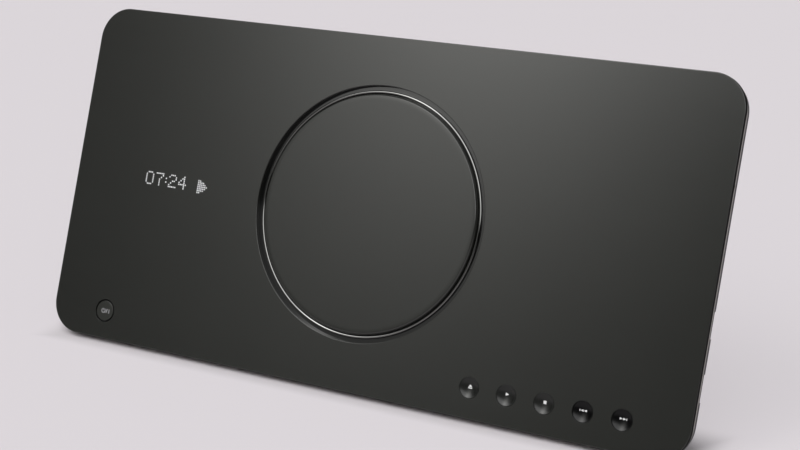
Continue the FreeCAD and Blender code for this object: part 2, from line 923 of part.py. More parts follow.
def chassis_plate():
    back = plate_face + plate_thickness
    plate = block(plate_left, plate_right, plate_face, back, -plate_half_height, plate_half_height)
    stud_places = main_holes() + regulator_holes()
    studs = [rod_along_y(x, z, board_back, plate_face, stud_radius) for x, z in stud_places]
    plate = fuse_all([plate] + studs)
    gap = wall + plate_pocket_gap
    cuts = [block(pocket_left - gap, pocket_right + gap, board_face, back + 1,
                  pocket_low - gap, plate_half_height + 1)]
    for x, z in screw_positions:
        cuts.append(rod_along_y(x, z, board_face, back + 1, boss_radius + plate_boss_gap))
    for x, z in stud_places:
        cuts.append(rod_along_y(x, z, board_face, back + 1, screw_shank_radius + thread_clearance))
    for x, z in plate_posts:
        cuts.append(rod_along_y(x, z, board_face, back + 1, screw_shank_radius + screw_clearance))
    for x, z in damper_places():
        cuts.append(rod_along_y(x, z, board_face, back + 1, damper_screw_shank + thread_clearance))
    return plate.cut(group(cuts))


def screw_y(x, z, seat, length, head, shank_radius):
    radius, height = head
    cap = rod_along_y(x, z, seat - height, seat, radius)
    shank = rod_along_y(x, z, seat - height / 2, seat + length, shank_radius)
    return cap.fuse(shank).removeSplitter()


def plate_screw(x, z, seat):
    head = (plate_screw_head, plate_screw_head_height)
    return screw_y(x, z, seat, plate_screw_length, head, screw_shank_radius)


def chassis_screws():
    return group([plate_screw(x, z, plate_face) for x, z in plate_posts])


def board_screws():
    screws = [plate_screw(x, z, board_face) for x, z in main_holes() + regulator_holes()]
    seat = front_board_back
    for x, z in small_posts():
        head = rod_along_y(x, z, seat, seat + small_screw_head_height, small_screw_head)
        middle = seat + small_screw_head_height / 2
        shank = rod_along_y(x, z, seat - small_screw_length, middle, small_screw_shank)
        screws.append(head.fuse(shank).removeSplitter())
    return group(screws)


def drilled_board(x0, x1, z0, z1, holes):
    plate = block(x0, x1, board_face, board_back, z0, z1)
    for x, z in holes:
        plate = plate.cut(rod_along_y(x, z, 0, overall_depth, screw_shank_radius + screw_clearance))
    return plate


def main_board():
    return drilled_board(main_left, main_right, main_low, main_high, main_holes())


def regulator_board():
    return drilled_board(main_left, regulator_right, regulator_low, regulator_high, regulator_holes())


def chip(x, z, width, height, thick):
    w = width / 2
    h = height / 2
    return block(x - w, x + w, board_face - thick, board_face, z - h, z + h)


def main_chips():
    chips = [chip(decoder_x, decoder_z, decoder_size, decoder_size, chip_height)]
    for right, up, width, height, thick in chip_layout:
        chips.append(chip(decoder_x + right, decoder_z + up, width, height, thick))
    return group(chips)


def heat_sink():
    half = sink_size / 2
    back = board_face - chip_height
    fin_back = back - sink_base
    low = decoder_z - half
    high = decoder_z + half
    base = block(decoder_x - half, decoder_x + half, fin_back, back, low, high)
    fins = []
    step = (sink_size - sink_fin) / (sink_fins - 1)
    for i in range(sink_fins):
        x = decoder_x - half + i * step
        fins.append(block(x, x + sink_fin, back - sink_height, fin_back, low, high))
    return fuse_all([base] + fins)


def can_row(x, z, across, upward, row, count):
    radius, height, pitch = row
    top = board_face - height
    cans = []
    for i in range(count):
        can = rod_along_y(x + across * pitch * i, z + upward * pitch * i, top, board_face, radius)
        cans.append(can.makeFillet(radius * can_round, [e for e in can.Edges if flat_at(e, top)]))
    return cans


def board_capacitors():
    cans = can_row(main_left + upper_can_inset, main_high - upper_can_drop, 1, 0, upper_cans, upper_can_count)
    cans += can_row(main_right - side_can_inset, main_low + side_can_rise, 0, 1, side_cans, side_can_count)
    row_z = regulator_low + regulator_row_rise
    cans += can_row(main_left + regulator_can_inset, row_z, 1, 0, regulator_cans, regulator_can_count)
    return group(cans)


def regulator_coils():
    coils = []
    z = regulator_low + regulator_row_rise
    front = board_face - coil_height
    for i in range(coil_count):
        x = main_left + coil_inset + coil_pitch * i
        spool = rod_along_y(x, z, front, board_face, coil_radius)
        waist = tube_along_y(x, z, front + coil_flange, board_face - coil_flange, coil_radius + 1, coil_waist)
        coils.append(spool.cut(waist))
    return group(coils)


# Jacks in the pocket
def jack_spots(row_z):
    return [(jack_first_x + i * jack_pitch, row_z) for i in range(jacks_in_row)]


def jack_holes():
    front = overall_depth - pocket_depth - wall - 1
    back = overall_depth - pocket_depth + 1
    holes = [rod_along_y(x, z, front, back, jack_barrel_radius + jack_hole_gap)
             for x, z in jack_spots(component_row_z) + jack_spots(av_row_z)]
    w = hdmi_width / 2 + jack_hole_gap
    h = hdmi_height / 2 + jack_hole_gap
    holes.append(block(hdmi_x - w, hdmi_x + w, front, back, hdmi_z - h, hdmi_z + h))
    d = dc_size / 2 + jack_hole_gap
    holes.append(block(dc_x - d, dc_x + d, front, back, dc_z - d, dc_z + d))
    return holes


def jack_block(row_z):
    spots = jack_spots(row_z)
    r = jack_barrel_radius + jack_base_margin
    inner = overall_depth - pocket_depth - wall
    base = block(spots[0][0] - r, spots[-1][0] + r, board_back, inner, row_z - r, row_z + r)
    tip = overall_depth - pocket_depth + jack_barrel_length
    barrels = [rod_along_y(x, z, inner, tip, jack_barrel_radius) for x, z in spots]
    collars = [rod_along_y(x, z, inner, inner + wall, jack_barrel_radius + jack_collar) for x, z in spots]
    jack = fuse_all([base] + barrels + collars)
    for x, z in spots:
        jack = jack.cut(rod_along_y(x, z, tip - jack_bore_depth, tip + 1, jack_bore_radius))
    return jack


def hdmi_socket():
    w = hdmi_width / 2
    low = hdmi_z - hdmi_height / 2
    high = hdmi_z + hdmi_height / 2
    tip = overall_depth - pocket_depth + hdmi_reach
    shell = block(hdmi_x - w, hdmi_x + w, board_back, tip, low, high)
    for side in (-1, 1):
        edge = hdmi_x + side * w
        corner = [V(edge, board_back, low), V(edge - side * hdmi_corner, board_back, low),
                  V(edge, board_back, low + hdmi_corner)]
        shell = shell.cut(Part.Face(Part.makePolygon(corner + corner[:1])).extrude(V(0, tip - board_back, 0)))
    floor = board_back + hdmi_floor
    wide = w - hdmi_side_wall
    narrow = w - hdmi_slope_inset
    upper = block(hdmi_x - wide, hdmi_x + wide, floor, tip + 1, low + hdmi_corner, high - hdmi_wall)
    lower = block(hdmi_x - narrow, hdmi_x + narrow, floor, tip + 1, low + hdmi_wall, hdmi_z)
    tongue_half = w - hdmi_tongue_inset
    tongue_low = hdmi_z - hdmi_tongue / 3
    tongue = block(hdmi_x - tongue_half, hdmi_x + tongue_half, board_back, tip - hdmi_tongue_drop,
                   tongue_low, tongue_low + hdmi_tongue)
    return shell.cut(lower.fuse(upper)).fuse(tongue).removeSplitter()


def dc_inlet():
    d = dc_size / 2
    tip = overall_depth - pocket_depth + dc_reach
    body = block(dc_x - d, dc_x + d, board_back, tip, dc_z - d, dc_z + d)
    floor = board_back + dc_floor
    body = body.cut(rod_along_y(dc_x, dc_z, floor, tip + 1, dc_bore))
    pin = rod_along_y(dc_x, dc_z, floor - dc_floor / 2, tip - dc_pin_drop, dc_pin)
    return body.fuse(pin).removeSplitter()


# Leg
def floor_level():
    underside = -math.sin(lean) * flange_back - math.cos(lean) * housing_half_height
    return underside - foot_height


def hinge_drop():
    return -math.sin(lean) * hinge_y + math.cos(lean) * leg_hinge_z - floor_level()


leg_length = hinge_drop() / math.cos(math.radians(leg_opening_deg - lean_deg))


def swing_open(shape):
    turned = shape.copy()
    turned.rotate(V(0, hinge_y, leg_hinge_z), V(1, 0, 0), leg_opening_deg)
    return turned


def stand_leg():
    w = leg_recess_width / 2 - leg_side_gap
    y0 = hinge_y - leg_thickness / 2
    y1 = hinge_y + leg_thickness / 2
    bottom = leg_hinge_z - leg_length + leg_foot_length
    plate = block(-w, w, y0, y1, bottom, leg_hinge_z)
    across = [e for e in plate.Edges if abs(e.BoundBox.YLength - leg_thickness) < 1e-4]
    plate = plate.makeFillet(leg_corner, [e for e in across if e.BoundBox.ZMax < bottom + 1e-4])
    barrel = rod_along_x(hinge_y, leg_hinge_z, -w, w, leg_barrel_radius)
    leg = plate.fuse(barrel).removeSplitter()
    m = leg_window_margin
    window = block(-w + m, w - m, y0 - 1, y1 + 1, bottom + m, leg_hinge_z - m)
    upright = [e for e in window.Edges if abs(e.BoundBox.YLength - leg_thickness - 2) < 1e-4]
    leg = leg.cut(window.makeFillet(leg_window_corner, upright))
    leg = leg.cut(rod_along_x(hinge_y, leg_hinge_z, -w - 1, w + 1, leg_pin_radius + leg_pin_clearance))
    return swing_open(leg)


def leg_foot():
    w = leg_recess_width / 2 - leg_side_gap - leg_foot_inset
    y0 = hinge_y - leg_foot_thickness / 2
    tip = leg_hinge_z - leg_length
    pad = block(-w, w, y0, y0 + leg_foot_thickness, tip - leg_foot_spare, tip + leg_foot_length)
    pad = swing_open(pad)
    floor = block(-half_width, half_width, -panel_height, 2 * panel_height, -half_height, 0)
    floor.translate(V(0, 0, floor_level()))
    floor.rotate(V(0, 0, 0), V(1, 0, 0), lean_deg)
    return pad.cut(floor)


def leg_pin():
    reach = leg_recess_width / 2 + wall
    return rod_along_x(hinge_y, leg_hinge_z, -reach, reach, leg_pin_radius)


# Feet: their flat soles are level when the player leans, so they are drawn in the leaning stance
def base_feet():
    top = floor_level() + foot_height
    corner_y = math.cos(lean) * flange_back - math.sin(lean) * housing_half_height
    feet = []
    for side in (-1, 1):
        x = side * (half_width - foot_inset)
        y = corner_y + foot_set_back
        pad = block(x - foot_half_length, x + foot_half_length, y, y + foot_width, floor_level(), top)
        pad = pad.makeFillet(foot_round, [e for e in pad.Edges if e.BoundBox.ZMax < floor_level() + 0.01])
        feet.append(pad)
    soles = group(feet)
    soles.rotate(V(0, 0, 0), V(1, 0, 0), lean_deg)
    return soles


# Loader
def loader_chassis():
    h = loader_half_height
    s = loader_sheet
    cover_back = loader_cover_face + loader_cover_sheet
    base_back = loader_base + s
    body = [block(loader_left, loader_right, loader_base, base_back, -h, h),
            block(loader_left, loader_left + s, cover_back, base_back, -h, h)]
    for side in (-1, 1):
        low, high = sorted((side * h, side * (h - s)))
        body.append(block(loader_left, loader_right, cover_back, base_back, low, high))
        low, high = sorted((side * h, side * (h + ear_reach)))
        for x in ear_x:
            body.append(block(x - ear_half_width, x + ear_half_width, loader_base, base_back, low, high))
        z = side * rod_z
        body.append(block(rod_block_left, rod_block_left + rod_end_block, rod_depth - rod_block_front,
                          loader_base + rod_block_back, z - rod_block_half, z + rod_block_half))
    body.append(rod_along_z(drive_x, drive_y, pulley_z0 - drive_axle_end, -h + s / 2, shaft_radius))
    chassis = fuse_all(body)
    front = loader_base - 1
    back = base_back + 1
    motor_half = feed_motor_radius + feed_motor_gap
    cuts = [block(window_left, spindle_x - window_from_spindle, front, back,
                  -sled_half_height - window_gap, screw_line_z + feed_tab_half + window_gap),
            block(spindle_x - window_from_spindle - 1, feed_motor_right, front, back,
                  screw_line_z - motor_half, screw_line_z + motor_half)]
    for x, z in damper_places():
        cuts.append(rod_along_y(x, z, front, back, ear_hole))
    for side in (-1, 1):
        bore = rod_radius + fixed_clearance
        cuts.append(rod_along_x(rod_depth, side * rod_z, rod_block_left - 1, spindle_x, bore))
    cuts.append(rod_along_z(arm_pivot_x, arm_pivot_y, -h - 1, h + 1, arm_rod_radius + running_clearance))
    slot_left, slot_right = shaft_slot_ends
    cuts.append(block(roller_x - slot_left, roller_x + slot_right, raised_y - shaft_radius - shaft_slot_gap,
                      roller_y + shaft_radius + shaft_slot_below, -h - s / 2, -h + s * 3 / 2))
    return chassis.cut(group(cuts)).removeSplitter()


def loader_cover():
    h = loader_half_height
    back = loader_cover_face + loader_cover_sheet
    plate = block(loader_left, loader_right, loader_cover_face, back, -h, h)
    return plate.cut(rod_along_y(spindle_x, 0, loader_cover_face - 1, back + 1, clamp_hole_radius))


def damper_bushes():
    bushes = []
    base_back = loader_base + loader_sheet
    front = loader_base - damper_front
    for x, z in damper_places():
        parts = [rod_along_y(x, z, front, loader_base, damper_radius),
                 rod_along_y(x, z, front, plate_face, ear_hole - damper_waist_gap),
                 rod_along_y(x, z, base_back, plate_face, damper_radius)]
        bush = fuse_all(parts).cut(rod_along_y(x, z, 0, overall_depth, damper_bore))
        bushes.append(bush)
    return group(bushes)


def damper_screws():
    seat = loader_base - damper_front
    length = plate_face + plate_thickness + damper_screw_end - seat
    head = (damper_screw_head, damper_screw_head_height)
    return group([screw_y(x, z, seat, length, head, damper_screw_shank) for x, z in damper_places()])


def spindle_motor():
    base = rod_along_y(spindle_x, 0, loader_base - motor_plate, loader_base, motor_plate_radius)
    front = disc_back + table_thickness + rotor_height + rotor_gap
    stator = rod_along_y(spindle_x, 0, front, loader_base - motor_plate, stator_radius)
    bore_end = loader_base - spindle_bore_floor
    bore = rod_along_y(spindle_x, 0, front - 1, bore_end, shaft_radius + running_clearance)
    return base.fuse(stator).cut(bore)


def turntable():
    hub = rod_along_y(spindle_x, 0, disc_back - hub_rise, disc_back, hub_radius)
    hub = hub.makeChamfer(hub_chamfer, [e for e in hub.Edges if flat_at(e, disc_back - hub_rise)])
    table_back = disc_back + table_thickness
    table = rod_along_y(spindle_x, 0, disc_back, table_back, table_radius)
    rotor = rod_along_y(spindle_x, 0, table_back, table_back + rotor_height, rotor_radius)
    shaft = rod_along_y(spindle_x, 0, table_back, loader_base - spindle_end_gap, shaft_radius)
    return fuse_all([hub, table, rotor, shaft])


def clamp_puck():
    flange_back_y = loader_cover_face - puck_cover_gap
    flange_face = flange_back_y - puck_flange
    flange = rod_along_y(spindle_x, 0, flange_face, flange_back_y, puck_flange_radius)
    neck = rod_along_y(spindle_x, 0, flange_face, disc_front - puck_disc_gap, puck_radius)
    pip = Part.makeSphere(pip_radius, V(spindle_x, flange_face + pip_radius - pip_rise, 0))
    puck = fuse_all([flange, neck, pip])
    recess_end = disc_back - hub_rise - puck_recess_gap
    return puck.cut(rod_along_y(spindle_x, 0, recess_end, disc_back, hub_radius + puck_recess_gap))


def clamp_leaf():
    back = loader_cover_face - puck_cover_gap - puck_flange - pip_rise - leaf_gap
    w = leaf_half_width
    strip = block(spindle_x - leaf_half_length, spindle_x + leaf_half_length,
                  back - leaf_thickness, back, -w, w)
    feet = []
    for side in (-1, 1):
        end = spindle_x + side * leaf_half_length
        x0, x1 = sorted((end, end - side * leaf_foot))
        feet.append(block(x0, x1, back, loader_cover_face, -w, w))
    return fuse_all([strip] + feet)


def guide_rods():
    left = loader_left + loader_sheet
    right = rod_block_left + rod_end_block
    return group([rod_along_x(rod_depth, side * rod_z, left, right, rod_radius) for side in (-1, 1)])


def pickup_sled():
    x0 = lens_x - sled_outside
    x1 = lens_x + sled_inside
    sled = block(x0, x1, sled_front, sled_back, -sled_half_height, sled_half_height)
    nut_top = screw_line_z - screw_thread_radius - nut_gap
    sled = sled.fuse(block(x0 + nut_inset, x1 - nut_inset, rod_depth - nut_half_thickness,
                           rod_depth + nut_half_thickness, sled_half_height, nut_top))
    for side in (-1, 1):
        bore = rod_radius + running_clearance
        sled = sled.cut(rod_along_x(rod_depth, side * rod_z, x0 - 1, x1 + 1, bore))
    notch_radius = motor_plate_radius + sled_notch_gap
    notch_x = spindle_x - inward_travel
    sled = sled.cut(rod_along_y(notch_x, 0, sled_front - 1, sled_back + 1, notch_radius))
    half = lens_pocket / 2
    pocket_end = sled_front - lens_lift + lens_holder_thickness + lens_float
    sled = sled.cut(block(lens_x - half, lens_x + half, sled_front - 1, pocket_end, -half, half))
    return sled.removeSplitter()


def pickup_lens():
    half = lens_holder / 2
    front = sled_front - lens_lift
    holder = block(lens_x - half, lens_x + half, front, front + lens_holder_thickness, -half, half)
    ball_radius = (lens_radius ** 2 + lens_dome ** 2) / (2 * lens_dome)
    ball = Part.makeSphere(ball_radius, V(lens_x, front - lens_dome + ball_radius, 0))
    dome = ball.common(rod_along_y(lens_x, 0, front - 2, front + 0.5, lens_radius))
    return holder.fuse(dome).removeSplitter()


def lead_screw():
    left = loader_left + loader_sheet + screw_wall_gap
    right = feed_motor_left
    core = rod_along_x(rod_depth, screw_line_z, left, right, screw_core_radius)
    root = screw_core_radius - screw_root_depth
    helix = Part.makeHelix(screw_pitch, right - left - thread_start - thread_end_gap, root)
    tooth = [V(root, 0, -thread_half_root), V(screw_thread_radius, 0, -thread_half_crest),
             V(screw_thread_radius, 0, thread_half_crest), V(root, 0, thread_half_root)]
    section = Part.Wire(Part.makePolygon(tooth + tooth[:1]))
    thread = Part.Wire(helix).makePipeShell([section], True, True)
    thread.rotate(V(0, 0, 0), V(0, 1, 0), 90)
    thread.translate(V(left + thread_start, rod_depth, screw_line_z))
    return core.fuse(thread)


def feed_motor():
    x0 = feed_motor_left + screw_wall_gap
    x1 = feed_motor_right
    can = rod_along_x(rod_depth, screw_line_z, x0, x1, feed_motor_radius)
    tab = block(x1, x1 + feed_tab, rod_depth - feed_tab_front, loader_base,
                screw_line_z - feed_tab_half, screw_line_z + feed_tab_half)
    bore = motor_shaft_radius + running_clearance
    bearing = rod_along_x(rod_depth, screw_line_z, x0, x1 - feed_motor_floor, bore)
    return can.fuse(tab).cut(bearing).removeSplitter()


# Roller and its arm
arm_reach = math.hypot(roller_x - arm_pivot_x, roller_y - arm_pivot_y)
arm_start = math.atan2(roller_y - arm_pivot_y, roller_x - arm_pivot_x)
arm_end = arm_start - math.radians(arm_lift_deg)
raised_x = arm_pivot_x + arm_reach * math.cos(arm_end)
raised_y = arm_pivot_y + arm_reach * math.sin(arm_end)
mesh_distance = gear_module * (roller_teeth + drive_teeth) / 2 + gear_backlash
mesh_angle = math.radians(mesh_direction_deg)
drive_x = raised_x + mesh_distance * math.cos(mesh_angle)
drive_y = raised_y + mesh_distance * math.sin(mesh_angle)
motor_x = drive_x - belt_centre_distance
motor_y = drive_y + belt_drop


def roller_arm():
    parts = []
    side = V(roller_x - arm_pivot_x, roller_y - arm_pivot_y, 0)
    length = side.Length
    along = V(side.x / length, side.y / length, 0)
    across = V(-along.y, along.x, 0)
    for sign in (-1, 1):
        z0, z1 = sorted((sign * cheek_z, sign * (cheek_z + cheek_thickness)))
        corners = []
        for x, y, turn in ((arm_pivot_x, arm_pivot_y, 1), (roller_x, roller_y, 1),
                           (roller_x, roller_y, -1), (arm_pivot_x, arm_pivot_y, -1)):
            corners.append((x + across.x * cheek_radius * turn, y + across.y * cheek_radius * turn))
        parts.append(prism_z(corners, z0, z1))
        parts.append(rod_along_z(arm_pivot_x, arm_pivot_y, z0, z1, cheek_radius))
        parts.append(rod_along_z(roller_x, roller_y, z0, z1, cheek_radius))
    reach = loader_half_height - arm_end_gap
    parts.append(rod_along_z(arm_pivot_x, arm_pivot_y, -reach, reach, arm_rod_radius))
    web_end = cheek_z + web_lap
    parts.append(block(arm_pivot_x - web_start, arm_pivot_x + web_reach, arm_pivot_y - web_half_thickness,
                       arm_pivot_y + web_half_thickness, -web_end, web_end))
    arm = fuse_all(parts)
    bore_end = cheek_z + cheek_thickness + 1
    return arm.cut(rod_along_z(roller_x, roller_y, -bore_end, bore_end, shaft_radius + running_clearance))


def roller_shaft():
    return rod_along_z(roller_x, roller_y, gear_z0 - shaft_end_gap, roller_shaft_top, shaft_radius)


def roller_rubber():
    r0 = shaft_radius + fixed_clearance
    h = roller_half_length
    outline = [V(r0, 0, -h), V(roller_radius, 0, -h), V(roller_waist, 0, -roller_flat),
               V(roller_waist, 0, roller_flat), V(roller_radius, 0, h), V(r0, 0, h)]
    section = Part.Face(Part.makePolygon(outline + outline[:1]))
    sleeve = section.revolve(V(0, 0, 0), V(0, 0, 1), 360)
    sleeve.translate(V(roller_x, roller_y, 0))
    return sleeve


def gear(x, y, z0, z1, teeth, tooth_angle, bore):
    outer = gear_module * (teeth + 2) / 2
    root = gear_module * (teeth - 2.5) / 2
    step = 2 * math.pi / teeth
    points = []
    for i in range(teeth):
        middle = tooth_angle + i * step
        for radius, share in ((root, -tooth_root_share), (outer, -tooth_tip_share),
                              (outer, tooth_tip_share), (root, tooth_root_share)):
            angle = middle + share * step
            points.append((x + radius * math.cos(angle), y + radius * math.sin(angle)))
    return prism_z(points, z0, z1).cut(rod_along_z(x, y, z0 - 1, z1 + 1, bore))


def roller_gear():
    raised_tooth = mesh_angle + math.pi / roller_teeth
    rest_tooth = raised_tooth + math.radians(arm_lift_deg)
    bore = shaft_radius + fixed_clearance
    return gear(roller_x, roller_y, gear_z0, gear_z1, roller_teeth, rest_tooth, bore)


def grooved_pulley(x, y, radius):
    body = rod_along_z(x, y, pulley_z0, pulley_z1, radius)
    path = radius - belt_inset
    floor = path - belt_radius - belt_groove_gap
    middle = (pulley_z0 + pulley_z1) / 2
    half = belt_radius + belt_groove_gap
    ring = rod_along_z(x, y, middle - half, middle + half, radius + 1)
    return body.cut(ring.cut(rod_along_z(x, y, middle - half, middle + half, floor)))


def pulley_gear():
    wheel = gear(drive_x, drive_y, gear_z0, gear_z1, drive_teeth, mesh_angle - math.pi, shaft_radius)
    hub = rod_along_z(drive_x, drive_y, pulley_z1, gear_z0, drive_hub_radius)
    whole = fuse_all([wheel, hub, grooved_pulley(drive_x, drive_y, drive_pulley_radius)])
    bore = shaft_radius + running_clearance
    return whole.cut(rod_along_z(drive_x, drive_y, pulley_z0 - 1, gear_z1 + 1, bore))


def motor_pulley():
    pulley = grooved_pulley(motor_x, motor_y, motor_pulley_radius)
    shaft_end = -loader_half_height - motor_shaft_inside
    shaft = rod_along_z(motor_x, motor_y, pulley_z0, shaft_end, motor_shaft_radius)
    return pulley.fuse(shaft).removeSplitter()


def loading_motor():
    back = -loader_half_height - loading_motor_length
    can = rod_along_z(motor_x, motor_y, back, -loader_half_height, loading_motor_radius)
    bore_end = -loader_half_height - motor_bore_floor
    return can.cut(rod_along_z(motor_x, motor_y, back - 1, bore_end, motor_shaft_radius + running_clearance))


def drive_belt():
    z = (pulley_z0 + pulley_z1) / 2
    big = drive_pulley_radius - belt_inset
    small = motor_pulley_radius - belt_inset
    dx = motor_x - drive_x
    dy = motor_y - drive_y
    distance = math.hypot(dx, dy)
    heading = math.atan2(dy, dx)
    spread = math.acos((big - small) / distance)

    def on_circle(x, y, radius, angle):
        return V(x + radius * math.cos(angle), y + radius * math.sin(angle), z)

    a = on_circle(drive_x, drive_y, big, heading + spread)
    b = on_circle(drive_x, drive_y, big, heading + math.pi)
    c = on_circle(drive_x, drive_y, big, heading - spread)
    d = on_circle(motor_x, motor_y, small, heading - spread)
    e = on_circle(motor_x, motor_y, small, heading)
    f = on_circle(motor_x, motor_y, small, heading + spread)
    path = Part.Wire([Part.Arc(a, b, c).toShape(), Part.LineSegment(c, d).toShape(),
                      Part.Arc(d, e, f).toShape(), Part.LineSegment(f, a).toShape()])
    tangent = (a - f)
    section = Part.Wire(Part.makeCircle(belt_radius, a, tangent))
    return path.makePipeShell([section], True, False)


pieces = {
    "front_panel": front_panel(),
    "ring_insert": ring_insert(),
    "trim_frame": trim_frame(),
    "rear_cover": rear_cover(),
    "slot_bezel": slot_bezel(),
    "slot_felts": slot_felts(),
    "cover_screws": cover_screws(),
    "key_eject": dished_key(0),
    "key_play": dished_key(1),
    "key_stop": dished_key(2),
    "key_previous": dished_key(3),
    "key_next": dished_key(4),
    "key_power": power_key(),
    "key_switches": key_switches(),
    "key_board": key_board(),
    "power_key_board": power_key_board(),
    "display_board": display_board(),
    "display_module": display_module(),
    "remote_sensor": remote_sensor(),
    "key_flat_cable": key_flat_cable(),
    "front_flat_cable": front_flat_cable(),
    "loader_flat_cable": loader_flat_cable(),
    "chassis_plate": chassis_plate(),
    "chassis_screws": chassis_screws(),
    "board_screws": board_screws(),
    "main_board": main_board(),
    "regulator_board": regulator_board(),
    "main_chips": main_chips(),
    "heat_sink": heat_sink(),
    "board_capacitors": board_capacitors(),
    "regulator_coils": regulator_coils(),
    "component_jacks": jack_block(component_row_z),
    "av_jacks": jack_block(av_row_z),
    "hdmi_socket": hdmi_socket(),
    "dc_inlet": dc_inlet(),
    "stand_leg": stand_leg(),
    "leg_foot": leg_foot(),
    "leg_pin": leg_pin(),
    "base_feet": base_feet(),
    "loader_chassis": loader_chassis(),
    "loader_cover": loader_cover(),
    "damper_bushes": damper_bushes(),
    "damper_screws": damper_screws(),
    "spindle_motor": spindle_motor(),
    "turntable": turntable(),
    "clamp_puck": clamp_puck(),
    "clamp_leaf": clamp_leaf(),
    "guide_rods": guide_rods(),
    "pickup_sled": pickup_sled(),
    "pickup_lens": pickup_lens(),
    "lead_screw": lead_screw(),
    "feed_motor": feed_motor(),
    "roller_arm": roller_arm(),
    "roller_shaft": roller_shaft(),
    "roller_rubber": roller_rubber(),
    "roller_gear": roller_gear(),
    "pulley_gear": pulley_gear(),
    "motor_pulley": motor_pulley(),
    "loading_motor": loading_motor(),
    "drive_belt": drive_belt(),
}

# Lean every piece back, then bring the lowest point to the floor and the middle of the
# footprint over the origin
for shape in pieces.values():
    shape.rotate(V(0, 0, 0), V(1, 0, 0), -lean_deg)
whole = FreeCAD.BoundBox()
for shape in pieces.values():
    whole.add(shape.optimalBoundingBox(False, False))
shift = V(-(whole.XMin + whole.XMax) / 2, -(whole.YMin + whole.YMax) / 2, -whole.ZMin)
print("front face middle at", shift, "size", whole.XLength, whole.YLength, whole.ZLength)

os.makedirs("parts", exist_ok=True)
for name, shape in pieces.items():
    shape.translate(shift)
    if not shape.isValid():
        print("invalid", name)
    print(name, len(shape.Solids), round(shape.Volume, 1))
    shape.exportStep("parts/" + name + ".step")
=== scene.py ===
# %% [markdown]
# # A slot-in disc player on a folding leg
#
# The construction model comes in as fixed nodes, in metres, standing on the floor at height 0.
# This lesson dresses it: new skins where a finish needs finer geometry, smooth-shaded copies where the
# shape is already right, and a procedural finish on every node, also on those inside the housing.

# %% Load the construction
import json
import math

import bmesh
import bpy
from mathutils import Matrix, Vector


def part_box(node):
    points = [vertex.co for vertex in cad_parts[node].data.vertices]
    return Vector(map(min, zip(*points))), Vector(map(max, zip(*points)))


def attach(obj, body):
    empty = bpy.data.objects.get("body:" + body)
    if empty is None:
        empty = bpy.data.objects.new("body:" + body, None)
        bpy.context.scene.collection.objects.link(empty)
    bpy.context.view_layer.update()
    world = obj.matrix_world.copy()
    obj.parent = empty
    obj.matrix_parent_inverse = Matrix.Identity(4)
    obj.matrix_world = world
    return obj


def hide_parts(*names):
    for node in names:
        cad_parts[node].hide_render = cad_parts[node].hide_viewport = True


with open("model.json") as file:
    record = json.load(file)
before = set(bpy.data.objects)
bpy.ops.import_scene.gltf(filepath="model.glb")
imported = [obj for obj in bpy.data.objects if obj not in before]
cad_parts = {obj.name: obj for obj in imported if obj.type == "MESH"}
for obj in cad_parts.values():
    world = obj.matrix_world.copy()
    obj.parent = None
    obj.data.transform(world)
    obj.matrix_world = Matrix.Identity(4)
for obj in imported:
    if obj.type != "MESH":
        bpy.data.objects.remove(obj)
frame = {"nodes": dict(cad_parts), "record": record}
bpy.context.view_layer.update()
record = frame["record"]

# %% [markdown]
# ## The panel's own axes
#
# The player is drawn upright and then leans back. Every new piece here is drawn the same way:
# X to the right, Y into the body, Z up the panel, in millimetres from the middle of the front face.
# The lean could be typed in as an angle, but the joints already know it: a key is pressed straight into
# the panel, and the roller's arm turns about an axis that runs straight up it. One matrix made from
# those two directions carries each finished mesh to its place.

# %% A matrix from panel millimetres to the frame
motions = {joint["name"]: joint for joint in record["behaviour"]["joints"]}
into_panel = Vector(motions["key_eject_press"]["axis"]).normalized()
up_panel = Vector(motions["arm_lift"]["axis"]).normalized()
panel_turn = Matrix((into_panel.cross(up_panel), into_panel, up_panel)).transposed()
mm = 0.001
spindle_place = Vector((93.0, 15.0, 0.0))
face_middle = Vector(motions["spindle_spin"]["pos_m"]) - panel_turn @ spindle_place * mm
leaned = Matrix.Translation(face_middle) @ panel_turn.to_4x4() @ Matrix.Scale(mm, 4)
body_of_node = {node: body for body, held in record["behaviour"]["bodies"].items() for node in held}
print("the face's middle stands at", tuple(round(value, 4) for value in face_middle))

# %% [markdown]
# ## Shader maths as plain expressions
#
# A finish is a small graph of nodes. Clicking it together in the editor is quick once, but hard to read
# back. Here a number that changes over a surface is wrapped in a class with Python's own operators,
# so that `1 - wear * 0.2` adds the Math nodes by itself.

# %% A wrapped socket
class Reading:
    """A value that changes over a surface."""

    def __init__(self, finish, socket):
        self.finish = finish
        self.socket = socket

    def __add__(self, other):
        return self.finish.maths("ADD", self, other)

    def __sub__(self, other):
        return self.finish.maths("SUBTRACT", self, other)

    def __rsub__(self, other):
        return self.finish.maths("SUBTRACT", other, self)

    def __mul__(self, other):
        return self.finish.maths("MULTIPLY", self, other)

    def __truediv__(self, other):
        return self.finish.maths("DIVIDE", self, other)

    def __gt__(self, other):
        return self.finish.maths("GREATER_THAN", self, other)

    def __lt__(self, other):
        return self.finish.maths("LESS_THAN", self, other)

    __radd__ = __add__
    __rmul__ = __mul__

    def between(self, low, high):
        """0 up to low, 1 from high, and a smooth step from one to the other."""
        settings = {"interpolation_type": "SMOOTHSTEP"}
        return self.finish.node("ShaderNodeMapRange", settings, {0: self, 1: low, 2: high})


# %% [markdown]
# One class holds a node tree, and one method adds any node: its settings are set first, then the values
# or links of its sockets. The same class serves the finishes and the world around the player.
# Patterns read Object coordinates, turned by a Mapping node into panel millimetres, so a grain of
# 0.4 is 0.4 mm on every piece, and brushing runs along the panel and not along the floor.

